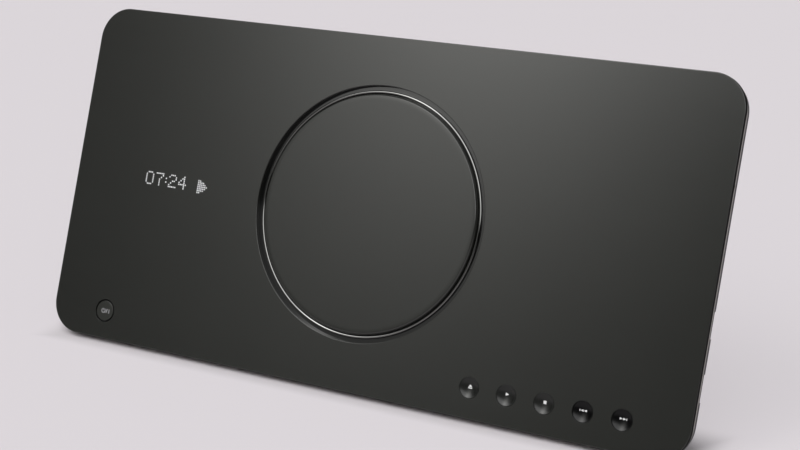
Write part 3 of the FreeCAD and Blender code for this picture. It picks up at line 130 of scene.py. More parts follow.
# %% A node tree and a finish
class Tree:
    def __init__(self, tree):
        self.tree = tree

    def node(self, kind, settings=None, sockets=None, output=0):
        made = self.tree.nodes.new(kind)
        for name, value in (settings or {}).items():
            setattr(made, name, value)
        for key, value in (sockets or {}).items():
            self.feed(made.inputs[key], value)
        return Reading(self, made.outputs[output])

    def feed(self, socket, value):
        if isinstance(value, Reading):
            self.tree.links.new(value.socket, socket)
        else:
            socket.default_value = value

    def maths(self, operation, *values):
        return self.node("ShaderNodeMath", {"operation": operation}, dict(enumerate(values)))

    def distance(self, across, up):
        return self.maths("SQRT", across * across + up * up)

    def mix(self, share, first, second):
        """A colour between two colours."""
        colours = [colour if isinstance(colour, Reading) else (*colour, 1.0) for colour in (first, second)]
        settings = {"data_type": "RGBA"}
        return self.node("ShaderNodeMix", settings, {0: share, 6: colours[0], 7: colours[1]}, output=2)

    def split(self, vector):
        """The three numbers of a vector."""
        parts = self.node("ShaderNodeSeparateXYZ", None, {"Vector": vector}).socket.node
        return [Reading(self, socket) for socket in parts.outputs]


class Finish(Tree):
    """A material: constants go on the shader's own sockets, readings are linked to them."""

    def __init__(self, name, **sockets):
        self.material = bpy.data.materials.new(name)
        self.material.use_nodes = True
        super().__init__(self.material.node_tree)
        self.shader = self.tree.nodes["Principled BSDF"]
        self.set(**sockets)
        place = self.node("ShaderNodeTexCoord", output=3)
        turned = {"Vector": place, "Location": face_middle, "Rotation": panel_turn.to_euler()}
        turned["Scale"] = (mm,) * 3
        self.place = self.node("ShaderNodeMapping", {"vector_type": "TEXTURE"}, turned)

    def set(self, **sockets):
        for name, value in sockets.items():
            self.feed(self.shader.inputs[name.replace("_", " ")], value)

    def stretched(self, x, y, z):
        """Panel millimetres divided by a size along each axis."""
        return self.node("ShaderNodeVectorMath", {"operation": "DIVIDE"}, {0: self.place, 1: (x, y, z)})

    def grain(self, size, detail=2.0, place=None):
        """Soft noise with spots of about this size."""
        sockets = {"Vector": place or self.place, "Scale": 1.0 / size, "Detail": detail}
        return self.node("ShaderNodeTexNoise", None, sockets)

    def cells(self, size, output=0, place=None):
        """Cells of about this size: the distance from each one's middle, or its own colour."""
        sockets = {"Vector": place or self.place, "Scale": 1.0 / size}
        return self.node("ShaderNodeTexVoronoi", None, sockets, output)

    def rings(self, centre):
        """The distance from an axis that runs into the panel."""
        x, _, z = self.split(self.place)
        return self.distance(x - centre[0], z - centre[1])

    def facing_in(self):
        """1 on faces square to the panel's depth, 0 on the sides of holes and rods."""
        normal = self.node("ShaderNodeNewGeometry", output=1)
        along = self.node("ShaderNodeVectorMath", {"operation": "DOT_PRODUCT"},
                          {0: normal, 1: into_panel}, output=1)
        return self.maths("ABSOLUTE", along)

    def relief(self, height, depth):
        """Raises the surface by height times depth, in millimetres."""
        bump = self.node("ShaderNodeBump", None, {"Height": height, "Distance": depth * mm})
        self.set(Normal=bump)


print("shader maths ready")

# %% [markdown]
# ## Finishes outside: lacquer, paint, moulded grain, rubber, felt
#
# The front is one sheet of dark lacquered plastic. Lacquer is nearly black, so what the eye reads is
# its reflection: low roughness, with a faint orange peel and wipe marks that only show in the roughness.
# The spray doesn't reach down a key's sides, so from a given depth on the plastic is bare and dull.
# Its colour turns nearly black there too: that is painted shade for the gap round the key.

# %% Lacquered blacks
spray_and_shade_fade = 0.4
# Nearly black: painted shade for the gap round a key.
painted_gap_shade = (0.002, 0.002, 0.002)


def shade(colour, factor):
    """A darker or lighter tone of a colour."""
    return tuple(value * factor for value in colour)


def lacquer(name, colour, roughness, peel=0.0006, ior=1.5, reach=50.0):
    finish = Finish(name, IOR=ior)
    depth = finish.split(finish.place)[1]
    # From reach on: bare, rougher plastic, and a nearly black colour that is painted shade.
    bare_and_shaded = depth.between(reach, reach + spray_and_shade_fade)
    clouds = finish.grain(45.0, 3.0)
    wipes = finish.grain(1.0, 4.0, finish.stretched(40.0, 9.0, 6.0))
    sprayed = finish.mix(clouds, shade(colour, 0.93), shade(colour, 1.07))
    finish.set(Base_Color=finish.mix(bare_and_shaded, sprayed, painted_gap_shade))
    finish.set(Roughness=roughness + (wipes - 0.5) * 0.03 + (clouds - 0.5) * 0.01 + bare_and_shaded * 0.5)
    finish.relief(finish.grain(2.4, 1.0), peel)
    return finish.material


panel_lacquer = lacquer("panel_lacquer", (0.0134, 0.0139, 0.0124), 0.13)
# The keys' lacquers carry the painted gap shade from their reach on.
key_lacquer = lacquer("key_lacquer", (0.0088, 0.0092, 0.0084), 0.2, 0.0004, 1.36, reach=1.0)
power_lacquer = lacquer("power_lacquer", (0.0165, 0.0172, 0.0150), 0.2, 0.0004, reach=0.4)
# Previous and next are the same keys as the other three: their nearly black copy of the key lacquer, with
# a weaker reflection, is painted shade.
shaded_key_lacquer = lacquer("shaded_key_lacquer", (0.0008, 0.0008, 0.0008), 0.2, 0.0004, 1.3)
print("lacquers:", panel_lacquer.name, key_lacquer.name, power_lacquer.name, shaded_key_lacquer.name)

# %% [markdown]
# The ring in the channel is one black moulding whose bead alone is plated bright. Two materials could
# meet on an edge there; one material that reads the distance from the ring's middle does it without one.

# %% Ring with a plated bead
bead_radius = 60.7
bead_half = 0.75
plating_beyond = 0.06
plating_within = 0.02


def plated_bead(name, black, bright):
    finish = Finish(name)
    reach = finish.rings((0.0, 0.0))
    inner = bead_radius - bead_half
    outer = bead_radius + bead_half
    inside = reach.between(inner - plating_beyond, inner + plating_within)
    outside = reach.between(outer - plating_within, outer + plating_beyond)
    plated = inside - outside
    haze = finish.grain(5.0, 2.0)
    finish.set(Base_Color=finish.mix(plated, black, bright), Metallic=plated)
    finish.set(Roughness=0.09 + (haze - 0.5) * 0.05 - plated * 0.03)
    return finish.material


ring_finish = plated_bead("ring_with_bead", (0.004, 0.0042, 0.004), (0.17, 0.17, 0.165))
print("ring ready")

# %% [markdown]
# The housing, the leg and the slot's mouth aren't in the photograph. Such parts usually come from
# spark-eroded moulds, with a fine even grain that scatters the light. Grain this fine is a bump, not
# geometry.

# %% Moulded blacks
def moulded(name, colour, roughness, grain_size, depth, **sockets):
    finish = Finish(name, **sockets)
    clouds = finish.grain(30.0, 3.0)
    pits = finish.cells(grain_size)
    fine = finish.grain(grain_size * 0.5, 2.0)
    mottle = clouds * 0.6 + pits * 0.4
    finish.set(Base_Color=finish.mix(mottle, shade(colour, 0.86), shade(colour, 1.14)))
    finish.set(Roughness=roughness + (clouds - 0.5) * 0.08 + (fine - 0.5) * 0.12)
    finish.relief(pits * 0.7 + fine * 0.3, depth)
    return finish.material


cover_grain = moulded("cover_grain", (0.021, 0.021, 0.022), 0.52, 0.55, 0.018)
leg_grain = moulded("leg_grain", (0.019, 0.019, 0.020), 0.5, 0.5, 0.016)
part_grain = moulded("part_grain", (0.017, 0.017, 0.018), 0.42, 0.9, 0.008)
panel_edge = moulded("panel_edge", (0.008, 0.008, 0.008), 0.6, 0.6, 0.005, IOR=1.02)
rubber = moulded("rubber", (0.012, 0.012, 0.012), 0.78, 0.35, 0.012, Sheen_Weight=0.15)
acetal = moulded("acetal", (0.76, 0.75, 0.70), 0.34, 1.4, 0.004, Subsurface_Weight=0.08)
print("moulded finishes ready")

# %% [markdown]
# The trim between the lacquered front and the housing is satin champagne-grey paint over metal. Paint
# flakes give it a fine sparkle.

# %% Painted trim
def painted_trim(name, colour):
    finish = Finish(name, Metallic=0.55)
    tone = finish.split(finish.cells(0.22, output=1))[0]
    streaks = finish.grain(1.0, 3.0, finish.stretched(22.0, 0.5, 22.0))
    sparkle = tone * 0.55 + streaks * 0.45
    finish.set(Base_Color=finish.mix(sparkle, shade(colour, 0.84), shade(colour, 1.16)))
    finish.set(Roughness=0.34 + (tone - 0.5) * 0.12 + (streaks - 0.5) * 0.06)
    finish.relief(tone, 0.002)
    return finish.material


trim_paint = painted_trim("trim_paint", (0.30, 0.275, 0.25))
print("trim paint ready")

# %% [markdown]
# Felt lines the slot, so that a disc isn't scratched. It is a mat of short fibres in all directions:
# two stretched noises crossed over each other read as fibres, and sheen gives the pale fuzz.

# %% Felt
def pressed_felt(name, colour):
    finish = Finish(name, Sheen_Weight=0.5, Sheen_Roughness=0.4)
    lengthways = finish.grain(1.0, 4.0, finish.stretched(0.12, 0.12, 0.9))
    crossways = finish.grain(1.0, 4.0, finish.stretched(0.5, 0.4, 0.12))
    fibres = lengthways * 0.5 + crossways * 0.5
    finish.set(Base_Color=finish.mix(fibres, shade(colour, 0.6), colour))
    finish.set(Roughness=0.85 + (fibres - 0.5) * 0.2)
    finish.relief(fibres, 0.08)
    return finish.material


felt = pressed_felt("felt", (0.022, 0.022, 0.023))
print("felt ready")

# %% [markdown]
# ## Finishes inside: sheet steel, ground rods, boards, cans and coils
#
# These nodes show only through the vents, the slot and the pocket, but each gets the finish of the real
# part. Zinc-plated sheet has its spangle, ground steel has fine lines, and turned parts have rings.

# %% Metals
def plated_sheet(name, colour, roughness):
    finish = Finish(name, Metallic=1.0)
    spangle = finish.split(finish.cells(4.5, output=1))[0]
    lines = finish.grain(1.0, 3.0, finish.stretched(30.0, 4.0, 0.4))
    finish.set(Base_Color=finish.mix(spangle, shade(colour, 0.88), colour))
    finish.set(Roughness=roughness + (spangle - 0.5) * 0.14 + (lines - 0.5) * 0.1)
    finish.relief(lines, 0.002)
    return finish.material


def ground_metal(name, colour, roughness, line):
    finish = Finish(name, Metallic=1.0)
    lines = finish.grain(1.0, 3.0, finish.stretched(line * 14.0, line, line * 14.0))
    clouds = finish.grain(6.0, 2.0)
    finish.set(Base_Color=finish.mix(clouds, shade(colour, 0.9), colour))
    finish.set(Roughness=roughness + (lines - 0.5) * 0.16)
    finish.relief(lines, 0.0015)
    return finish.material


nickel_tone = (0.72, 0.69, 0.63)
zinc = plated_sheet("zinc_sheet", (0.62, 0.62, 0.60), 0.34)
bright_steel = ground_metal("bright_steel", (0.74, 0.74, 0.73), 0.16, 0.15)
screw_metal = ground_metal("screw_zinc", (0.60, 0.60, 0.58), 0.3, 0.25)
dark_screw = ground_metal("screw_black_zinc", (0.055, 0.055, 0.058), 0.33, 0.2)
aluminium = ground_metal("extruded_aluminium", (0.70, 0.71, 0.72), 0.38, 0.3)
motor_nickel = ground_metal("motor_nickel", (0.66, 0.65, 0.62), 0.24, 0.4)
shell_nickel = ground_metal("shell_nickel", nickel_tone, 0.22, 0.12)
print("metals ready")

# %% [markdown]
# A phono socket is a nickel-plated barrel round a coloured plastic core. The colours are the usual ones:
# green, blue and red for the picture's parts, yellow, white and red for picture and sound. The six
# sockets stand on an even raster, so the place wrapped to one raster step gives the distance from the
# nearest axis.

# %% Phono sockets
jack_axis = (-118.0, 54.0)
jack_raster = (14.0, 16.0)
barrel_inner = 3.3
barrel_outer = 4.3


def phono(name, left, middle, right):
    finish = Finish(name)
    x, _, z = finish.split(finish.place)
    steps = zip((x, z), jack_axis, jack_raster)
    near = [finish.maths("WRAP", place - axis, step / 2, -step / 2) for place, axis, step in steps]
    reach = finish.distance(*near)
    half = jack_raster[0] / 2
    core = finish.mix(x > jack_axis[0] - half, right, middle)
    core = finish.mix(x > jack_axis[0] + half, core, left)
    barrel = (reach > barrel_inner) * (reach < barrel_outer)
    haze = finish.grain(1.5, 2.0)
    finish.set(Base_Color=finish.mix(barrel, core, nickel_tone), Metallic=barrel)
    finish.set(Roughness=0.38 - barrel * 0.16 + (haze - 0.5) * 0.1)
    return finish.material


red = (0.52, 0.02, 0.02)
picture_jacks = phono("picture_jacks", (0.03, 0.34, 0.08), (0.03, 0.08, 0.45), red)
sound_jacks = phono("sound_jacks", (0.75, 0.52, 0.02), (0.72, 0.72, 0.70), red)
print("sockets ready")

# %% [markdown]
# A circuit board is glass cloth under green lacquer. Copper tracks show through as lighter lines, here
# the edges of square cells, with tinned pads where a second, coarser grid of dots crosses them.

# %% Circuit boards
def circuit_board(name, mask_colour, track_colour):
    finish = Finish(name, Coat_Weight=0.4, Coat_Roughness=0.2)
    x, _, z = finish.split(finish.place)
    level = finish.node("ShaderNodeCombineXYZ", None, {0: x, 1: z, 2: 0.0})
    tracks = finish.node("ShaderNodeTexBrick", {"offset": 0.37, "squash": 1.6}, {
        "Vector": level,
        "Color1": (0, 0, 0, 1), "Color2": (0, 0, 0, 1), "Mortar": (1, 1, 1, 1), "Scale": 0.35,
        "Mortar Size": 0.05, "Brick Width": 1.3, "Row Height": 0.42}, output=1)
    pads = finish.cells(2.6, place=level) < 0.16
    weave = finish.grain(0.6, 2.0)
    lacquered = finish.mix(tracks * 0.8 + weave * 0.1, mask_colour, track_colour)
    finish.set(Base_Color=finish.mix(pads, lacquered, (0.55, 0.54, 0.50)))
    finish.set(Metallic=pads * 0.9, Roughness=0.42 - pads * 0.12 + (weave - 0.5) * 0.06)
    finish.relief(tracks * 0.5 + pads, 0.03)
    return finish.material


board_green = circuit_board("board_green", (0.010, 0.075, 0.035), (0.035, 0.16, 0.07))
print("boards ready")

# %% [markdown]
# Chips are black epoxy with a dull top. Capacitors have a shrunk plastic sleeve round them and a bare
# aluminium end, and coils have copper wire between ferrite ends: one material each, split by the
# direction that the face looks in.

# %% Parts on the boards
def sleeved_can(name, sleeve, end):
    finish = Finish(name)
    ends = finish.facing_in() > 0.8
    stripe = finish.grain(3.0, 1.0) > 0.62
    sleeve_tone = finish.mix(stripe, sleeve, shade(sleeve, 2.4))
    finish.set(Base_Color=finish.mix(ends, sleeve_tone, end), Metallic=ends * 0.95)
    finish.set(Roughness=0.36 + (finish.grain(0.5) - 0.5) * 0.14)
    finish.relief(finish.grain(0.8), 0.01)
    return finish.material


def wound_coil(name, ferrite, copper):
    finish = Finish(name)
    wire_pitch = 0.5
    depth = finish.split(finish.place)[1]
    turns = finish.maths("PINGPONG", depth, wire_pitch / 2)
    wire = 1 - (finish.facing_in() > 0.5)
    finish.set(Base_Color=finish.mix(wire, ferrite, copper), Metallic=wire * 0.85)
    finish.set(Roughness=0.62 - wire * 0.28 + (finish.grain(0.7) - 0.5) * 0.1)
    finish.relief(turns / wire_pitch * wire + finish.grain(0.6) * 0.1, 0.12)
    return finish.material


epoxy = moulded("chip_epoxy", (0.014, 0.014, 0.015), 0.58, 0.25, 0.006)
can_finish = sleeved_can("capacitor_sleeves", (0.016, 0.020, 0.055), (0.62, 0.62, 0.62))
coil_finish = wound_coil("coil_windings", (0.045, 0.042, 0.040), (0.55, 0.24, 0.11))
print("board parts ready")

# %% [markdown]
# Flat cable is a row of tinned conductors between two white films, which show as fine grey lines.
# The display module is smoked glass with a faint grid of cells behind it. The pickup's lens is a clear
# bead in a black holder, so its middle is glossy with a blue-violet coating and the rest is moulded.

# %% Cable, display glass and lens
def ribbon(name, film, conductor):
    finish = Finish(name)
    pitch = 1.0
    x, _, z = finish.split(finish.place)
    across = finish.maths("PINGPONG", x + z, pitch / 2)
    wires = across.between(0.12, 0.22)
    finish.set(Base_Color=finish.mix(wires, film, conductor))
    finish.set(Roughness=0.4 + (finish.grain(2.0) - 0.5) * 0.1)
    finish.relief(wires, 0.03)
    return finish.material


def display_glass(name):
    finish = Finish(name, IOR=1.5, Coat_Weight=0.6, Coat_Roughness=0.04)
    x, _, z = finish.split(finish.place)
    line = (0.04, 0.14)
    columns = finish.maths("PINGPONG", x, 0.55).between(*line)
    rows = finish.maths("PINGPONG", z, 0.5).between(*line)
    grid = columns * rows
    finish.set(Base_Color=finish.mix(grid, (0.006, 0.008, 0.008), (0.030, 0.040, 0.038)))
    finish.set(Roughness=0.08 + finish.grain(8.0) * 0.06)
    return finish.material


def lens_in_holder(name, centre):
    finish = Finish(name)
    lens_edge = (2.1, 2.3)
    lens = 1 - finish.rings(centre).between(*lens_edge)
    finish.set(Base_Color=finish.mix(lens, (0.018, 0.018, 0.020), (0.05, 0.035, 0.16)))
    finish.set(Roughness=0.45 - lens * 0.4 + (finish.grain(0.4) - 0.5) * 0.06)
    finish.relief(finish.grain(0.5) * (1 - lens), 0.01)
    return finish.material


film_white = ribbon("ribbon_film", (0.72, 0.73, 0.74), (0.38, 0.38, 0.39))
smoked_glass = display_glass("smoked_glass")
lens_low, lens_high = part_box("pickup_lens")
lens_middle = leaned.inverted() @ ((lens_low + lens_high) / 2)
lens_finish = lens_in_holder("lens_and_holder", (lens_middle.x, lens_middle.z))
print("lens finish centred at", round(lens_middle.x, 2), round(lens_middle.z, 2))

# %% [markdown]
# ## Every node gets its finish
#
# A node whose shape is right stays as it is and only takes a new material. The list below says which
# finish each of them has; nodes that are replaced later still get one, since it is their real finish.

# %% Finishes on the nodes
finishes = {
    panel_lacquer: ["front_panel"],
    ring_finish: ["ring_insert"],
    key_lacquer: ["key_eject", "key_play", "key_stop"],
    power_lacquer: ["key_power"],
    # painted shade: a nearly black copy of the key lacquer
    shaded_key_lacquer: ["key_previous", "key_next"],
    trim_paint: ["trim_frame"],
    cover_grain: ["rear_cover", "slot_bezel"],
    leg_grain: ["stand_leg"],
    rubber: ["leg_foot", "base_feet", "damper_bushes", "roller_rubber", "drive_belt"],
    felt: ["slot_felts"],
    zinc: ["chassis_plate", "loader_chassis", "loader_cover", "roller_arm"],
    bright_steel: ["leg_pin", "guide_rods", "roller_shaft", "lead_screw", "clamp_leaf"],
    screw_metal: ["chassis_screws", "board_screws", "damper_screws"],
    dark_screw: ["cover_screws"],
    aluminium: ["heat_sink", "turntable"],
    motor_nickel: ["spindle_motor", "feed_motor", "loading_motor"],
    shell_nickel: ["hdmi_socket"],
    board_green: ["key_board", "power_key_board", "display_board", "main_board", "regulator_board"],
    epoxy: ["main_chips"],
    can_finish: ["board_capacitors"],
    coil_finish: ["regulator_coils"],
    film_white: ["key_flat_cable", "front_flat_cable", "loader_flat_cable"],
    smoked_glass: ["display_module", "remote_sensor"],
    lens_finish: ["pickup_lens"],
    part_grain: ["key_switches", "dc_inlet", "pickup_sled"],
    picture_jacks: ["component_jacks"],
    sound_jacks: ["av_jacks"],
    acetal: ["clamp_puck", "roller_gear", "pulley_gear", "motor_pulley"],
}
finish_of_node = {node: finish for finish, held in finishes.items() for node in held}
for node, finish in finish_of_node.items():
    for material_slot in frame["nodes"][node].material_slots:
        material_slot.material = finish
bare_nodes = sorted(set(frame["nodes"]) - set(finish_of_node))
print("nodes with a finish:", len(finish_of_node), "left out:", bare_nodes)

# %% [markdown]
# ## Making pieces
#
# Nearly everything that is new on this player is turned or flat. A turned piece is a profile of
# (radius, depth) points spun round an axis that runs into the panel. A profile could also be bevelled
# after spinning, but arcs drawn in the profile keep each round exactly as large as the real one.

# %% Turned shapes
def arc(centre, radius, start, end, steps):
    """Points on part of a circle, with angles in degrees and 0 pointing outwards."""
    angles = [math.radians(start + (end - start) * step / steps) for step in range(steps + 1)]
    x, y = centre
    return [(x + radius * math.cos(angle), y + radius * math.sin(angle)) for angle in angles]


def turn(bm, profile, centre=(0.0, 0.0), steps=96, closed=False):
    """Spins a profile of (radius, depth) points about an axis that runs into the panel."""
    x, z = centre
    verts = [bm.verts.new((x + radius, depth, z)) for radius, depth in profile]
    edges = [bm.edges.new(pair) for pair in zip(verts, verts[1:])]
    if closed:
        edges.append(bm.edges.new((verts[-1], verts[0])))
    bmesh.ops.spin(bm, geom=verts + edges, cent=(x, 0, z), axis=(0, 1, 0), angle=math.tau,
                   steps=steps, use_merge=True)


# %% [markdown]
# A flat plate starts as four corners. A vertex bevel rounds them, an extrusion gives the thickness, and
# an edge bevel rolls the front edge over. Where holes pass through, its flats are taken out and filled
# again between all the loops that lie in their plane.

# %% Flat shapes
def at_level(parts, depth):
    return [part for part in parts if all(abs(vert.co.y - depth) < 0.0005 for vert in part.verts)]


def plate(bm, size, corner, front, back, rounding, corner_steps, round_steps):
    """A rounded rectangle from one depth to another, its front edge rolled over."""
    signs = ((-1, -1), (1, -1), (1, 1), (-1, 1))
    verts = [bm.verts.new((x * size[0] / 2, front, z * size[1] / 2)) for x, z in signs]
    bm.faces.new(verts)
    bmesh.ops.bevel(bm, geom=verts, offset=corner, offset_type="OFFSET", affect="VERTICES",
                    segments=corner_steps, profile=0.5, material=-1)
    grown = bmesh.ops.extrude_face_region(bm, geom=at_level(bm.faces, front))["geom"]
    moved = [part for part in grown if isinstance(part, bmesh.types.BMVert)]
    bmesh.ops.translate(bm, vec=(0, back - front, 0), verts=moved)
    bmesh.ops.bevel(bm, geom=at_level(bm.edges, front), offset=rounding, offset_type="OFFSET",
                    affect="EDGES", segments=round_steps, profile=0.5, material=-1)


def fill_level(bm, depth):
    """Fills the flat between all the open loops at one depth."""
    loops = [edge for edge in at_level(bm.edges, depth) if len(edge.link_faces) < 2]
    made = bmesh.ops.triangle_fill(bm, use_beauty=True, edges=loops, normal=(0, -1, 0))
    return len([part for part in made["geom"] if isinstance(part, bmesh.types.BMFace)])


# %% [markdown]
# A finished mesh has its doubles merged, its faces turned outwards and its edges marked sharp past an
# angle. Weighted normals then keep large flats flat right up to their rounds, which matters on a glossy
# sheet, where a bent normal bends the whole reflection.

# %% Finishing a piece
def settle(name, mesh, finish, body, sharp):
    mesh.shade_smooth()
    mesh.set_sharp_from_angle(angle=math.radians(sharp))
    piece = bpy.data.objects.new(name, mesh)
    bpy.context.collection.objects.link(piece)
    mesh.materials.append(finish)
    steady = piece.modifiers.new("steady_flats", "WEIGHTED_NORMAL")
    steady.keep_sharp = True
    steady.weight = 90
    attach(piece, body)
    return piece


def finish_piece(name, bm, finish, body, replaced=(), sharp=32.0):
    """Moves a drawn mesh to its place and makes it a piece that rides on a body."""
    bmesh.ops.remove_doubles(bm, verts=bm.verts, dist=0.0005)
    bmesh.ops.recalc_face_normals(bm, faces=bm.faces)
    bmesh.ops.transform(bm, matrix=leaned, verts=bm.verts)
    mesh = bpy.data.meshes.new(name)
    bm.to_mesh(mesh)
    bm.free()
    piece = settle(name, mesh, finish, body, sharp)
    if replaced:
        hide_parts(*replaced)
    print(name, "has", len(mesh.polygons), "faces")
    return piece


# %% [markdown]
# ## The front panel
#
# The front is taken as one moulded sheet with a round channel in the middle. The channel's
# outer wall has a tight lip, and its inner side breaks in a fine crease before it rolls over, which is
# what draws the crisp dark line inside the bright one. One profile from the axis outwards makes plateau,
# channel and lip, and a second one makes the thickened back. The flats around them are filled. The
# sheet's sides are bare of lacquer, dull and darker than its face, so they take a second finish.

# %% Sizes of the front panel
panel_size = (360.0, 176.0)
corner = 16.7
thickness = 2.8
edge_round = 0.35
bare_below = edge_round * 0.9
plateau_loops = (0, 30, 56.5)
plateau_radius = 59.6
plateau_round = 1.8
plateau_crease = 25
channel_radius = 63.65
channel_depth = 3.0
lip = 0.35
backing_outer = 66.65
backing_inner = 56.6
backing_depth = 4.8
key_names = ("key_eject", "key_play", "key_stop", "key_previous", "key_next")
first_key = 70.3
key_pitch = 19.3
key_spots = {name: first_key + key_pitch * step for step, name in enumerate(key_names)}
key_height = -73.3
key_hole = 5.25
power_spot = (-146.5, -73.4)
power_hole = 6.05
hole_round = 0.06
ring_steps = 256

# %% Front panel
bm = bmesh.new()
plate(bm, panel_size, corner, 0.0, thickness, edge_round, corner_steps=40, round_steps=6)
flats = at_level(bm.faces, 0.0) + at_level(bm.faces, thickness)
bmesh.ops.delete(bm, geom=flats, context="FACES_ONLY")
for face in bm.faces:
    face.material_index = int(min(vert.co.y for vert in face.verts) > bare_below)
crease_drop = plateau_round * (1 - math.cos(math.radians(plateau_crease)))
rolled = arc((plateau_radius - plateau_round, plateau_round - crease_drop), plateau_round,
             plateau_crease - 90, 0, 12)
lipped = arc((channel_radius + lip, lip), lip, 180, 270, 6)
trough = [(plateau_radius, channel_depth), (channel_radius, channel_depth)]
middle = [(radius, 0) for radius in plateau_loops]
turn(bm, middle + rolled + trough + lipped, steps=ring_steps)
turn(bm, [(0, thickness), (backing_inner, thickness), (backing_inner, backing_depth),
          (backing_outer, backing_depth), (backing_outer, thickness)], steps=ring_steps)
hole_spots = [((x, key_height), key_hole) for x in key_spots.values()] + [(power_spot, power_hole)]
for spot, radius in hole_spots:
    rim = arc((radius + hole_round, hole_round), hole_round, 270, 180, 5)
    turn(bm, rim + [(radius, thickness)], centre=spot)
print("front flat:", fill_level(bm, 0.0), "faces; back flat:", fill_level(bm, thickness), "faces")

# %% [markdown]
# The posts behind the panel take the screws. They are already right in the construction, so a merged
# copy of the node is cut off at the panel's back, its ring is dropped, and the cut is closed.

# %% Posts behind the front panel
def merged(node):
    """A copy of a node's mesh with its loose triangles joined, in panel millimetres."""
    copy = bmesh.new()
    copy.from_mesh(frame["nodes"][node].data)
    bmesh.ops.transform(copy, matrix=leaned.inverted(), verts=copy.verts)
    bmesh.ops.remove_doubles(copy, verts=copy.verts, dist=0.001)
    return copy


posts = merged("front_panel")
everything = list(posts.verts) + list(posts.edges) + list(posts.faces)
bmesh.ops.bisect_plane(posts, geom=everything, dist=0.0001, plane_co=(0, thickness + 0.01, 0),
                       plane_no=(0, 1, 0), clear_inner=True)
ring_verts = [vert for vert in posts.verts
              if backing_inner - 1 < math.hypot(vert.co.x, vert.co.z) < backing_outer + 1]
bmesh.ops.delete(posts, geom=ring_verts, context="VERTS")
cut_edges = [edge for edge in posts.edges if edge.is_boundary]
bmesh.ops.holes_fill(posts, edges=cut_edges, sides=0)
post_mesh = bpy.data.meshes.new("posts")
posts.to_mesh(post_mesh)
posts.free()
bm.from_mesh(post_mesh)
bpy.data.meshes.remove(post_mesh)
skin = finish_piece("front_panel_skin", bm, panel_lacquer, "player", ["front_panel"], 20.0)
skin.data.materials.append(panel_edge)
print("bare sides:", sum(face.material_index for face in skin.data.polygons), "faces")

# %% [markdown]
# ## The bright ring in the channel
#
# A separate glossy moulding lies on the channel's floor. Its raised bead has a full round crest, which
# catches the soft light as one thin bright line that runs nearly all the way round.

# %% Ring in the channel
bead_top = 1.25
ring_face = 2.6
ring_inner = 59.65
ring_outer = 63.6
foot_round = 0.2
bm = bmesh.new()
crest = arc((bead_radius, bead_top + bead_half), bead_half, 0, -180, 20)
foot_level = ring_face - foot_round
foot_out = arc((bead_radius + bead_half + foot_round, foot_level), foot_round, 90, 180, 4)
foot_in = arc((bead_radius - bead_half - foot_round, foot_level), foot_round, 0, 90, 4)
turn(bm, [(ring_inner, channel_depth), (ring_outer, channel_depth), (ring_outer, ring_face)] + foot_out
     + crest + foot_in + [(ring_inner, ring_face)], steps=ring_steps, closed=True)
finish_piece("ring_bead", bm, ring_finish, "player", ["ring_insert"])

# %% [markdown]
# ## Keys
#
# The five small keys are dished, so that a finger finds them on a flat front: each cap's face is part of
# a ball pressed 0.7 mm deep. What lies behind the front isn't in the photograph: a retaining flange and
# a stem that reaches the switch are taken as one moulding with the cap, and so one profile here.

# %% Dished keys
key_radius = 5.15
key_round = 0.08
dish_radius = 4.8
dish_depth = 0.7
dish_ball = (dish_radius ** 2 + dish_depth ** 2) / (2 * dish_depth)
flange_face = 2.9
flange_back = 3.7
stem_end = 5.2
stem_radius = 1.4
key_flange = 6.4


def dish(radius):
    """How deep the dish lies at a distance from its middle."""
    return dish_depth - dish_ball + math.sqrt(max(dish_ball ** 2 - radius ** 2, 0.0))


def stem_profile(outer, flange):
    """The key's side, flange and stem, from its rim back to the axis."""
    return [(outer, flange_face), (flange, flange_face), (flange, flange_back),
            (stem_radius, flange_back), (stem_radius, stem_end), (0, stem_end)]


dish_steps = 16
key_rim = arc((key_radius - key_round, key_round), key_round, -90, 0, 4)
dish_radii = [dish_radius * step / dish_steps for step in range(dish_steps + 1)]
dished = [(radius, dish(radius)) for radius in dish_radii]
for key, x in key_spots.items():
    bm = bmesh.new()
    turn(bm, dished + key_rim + stem_profile(key_radius, key_flange), centre=(x, key_height))
    finish_piece(key + "_cap", bm, finish_of_node[key], key, [key])

# %% [markdown]
# The power key is a plain flush cap, so only the dark gap around it shows, deepened by the painted
# shade on the cap's sides. Its symbol is printed.

# %% Power key
power_radius = 5.3
power_round = 0.25
power_flange = 7.2
bm = bmesh.new()
power_rim = arc((power_radius - power_round, power_round), power_round, -90, 0, 5)
turn(bm, [(0, 0), (3, 0)] + power_rim + stem_profile(power_radius, power_flange), centre=power_spot)
finish_piece("key_power_cap", bm, power_lacquer, "key_power", ["key_power"])

# %% [markdown]
# ## Printed symbols
#
# Print could be a texture, but a texture is as coarse as its pixels and is lost with its file. Each
# symbol here is a thin slip of pale ink: a flat outline, extruded a few hundredths of a millimetre, whose
# points are laid on the dish below them. They are the plain transport symbols that any player carries.

# %% Ink
def printed(name, colour, roughness):
    finish = Finish(name)
    speckle = finish.grain(0.12, 2.0)
    finish.set(Base_Color=finish.mix(speckle, shade(colour, 0.88), colour))
    finish.set(Roughness=roughness + (speckle - 0.5) * 0.2)
    finish.relief(speckle, 0.002)
    return finish.material


white_ink = printed("white_ink", (0.60, 0.60, 0.60), 0.4)
grey_ink = printed("grey_ink", (0.42, 0.42, 0.44), 0.45)
ink_proud = 0.03
ink_sunk = 0.06


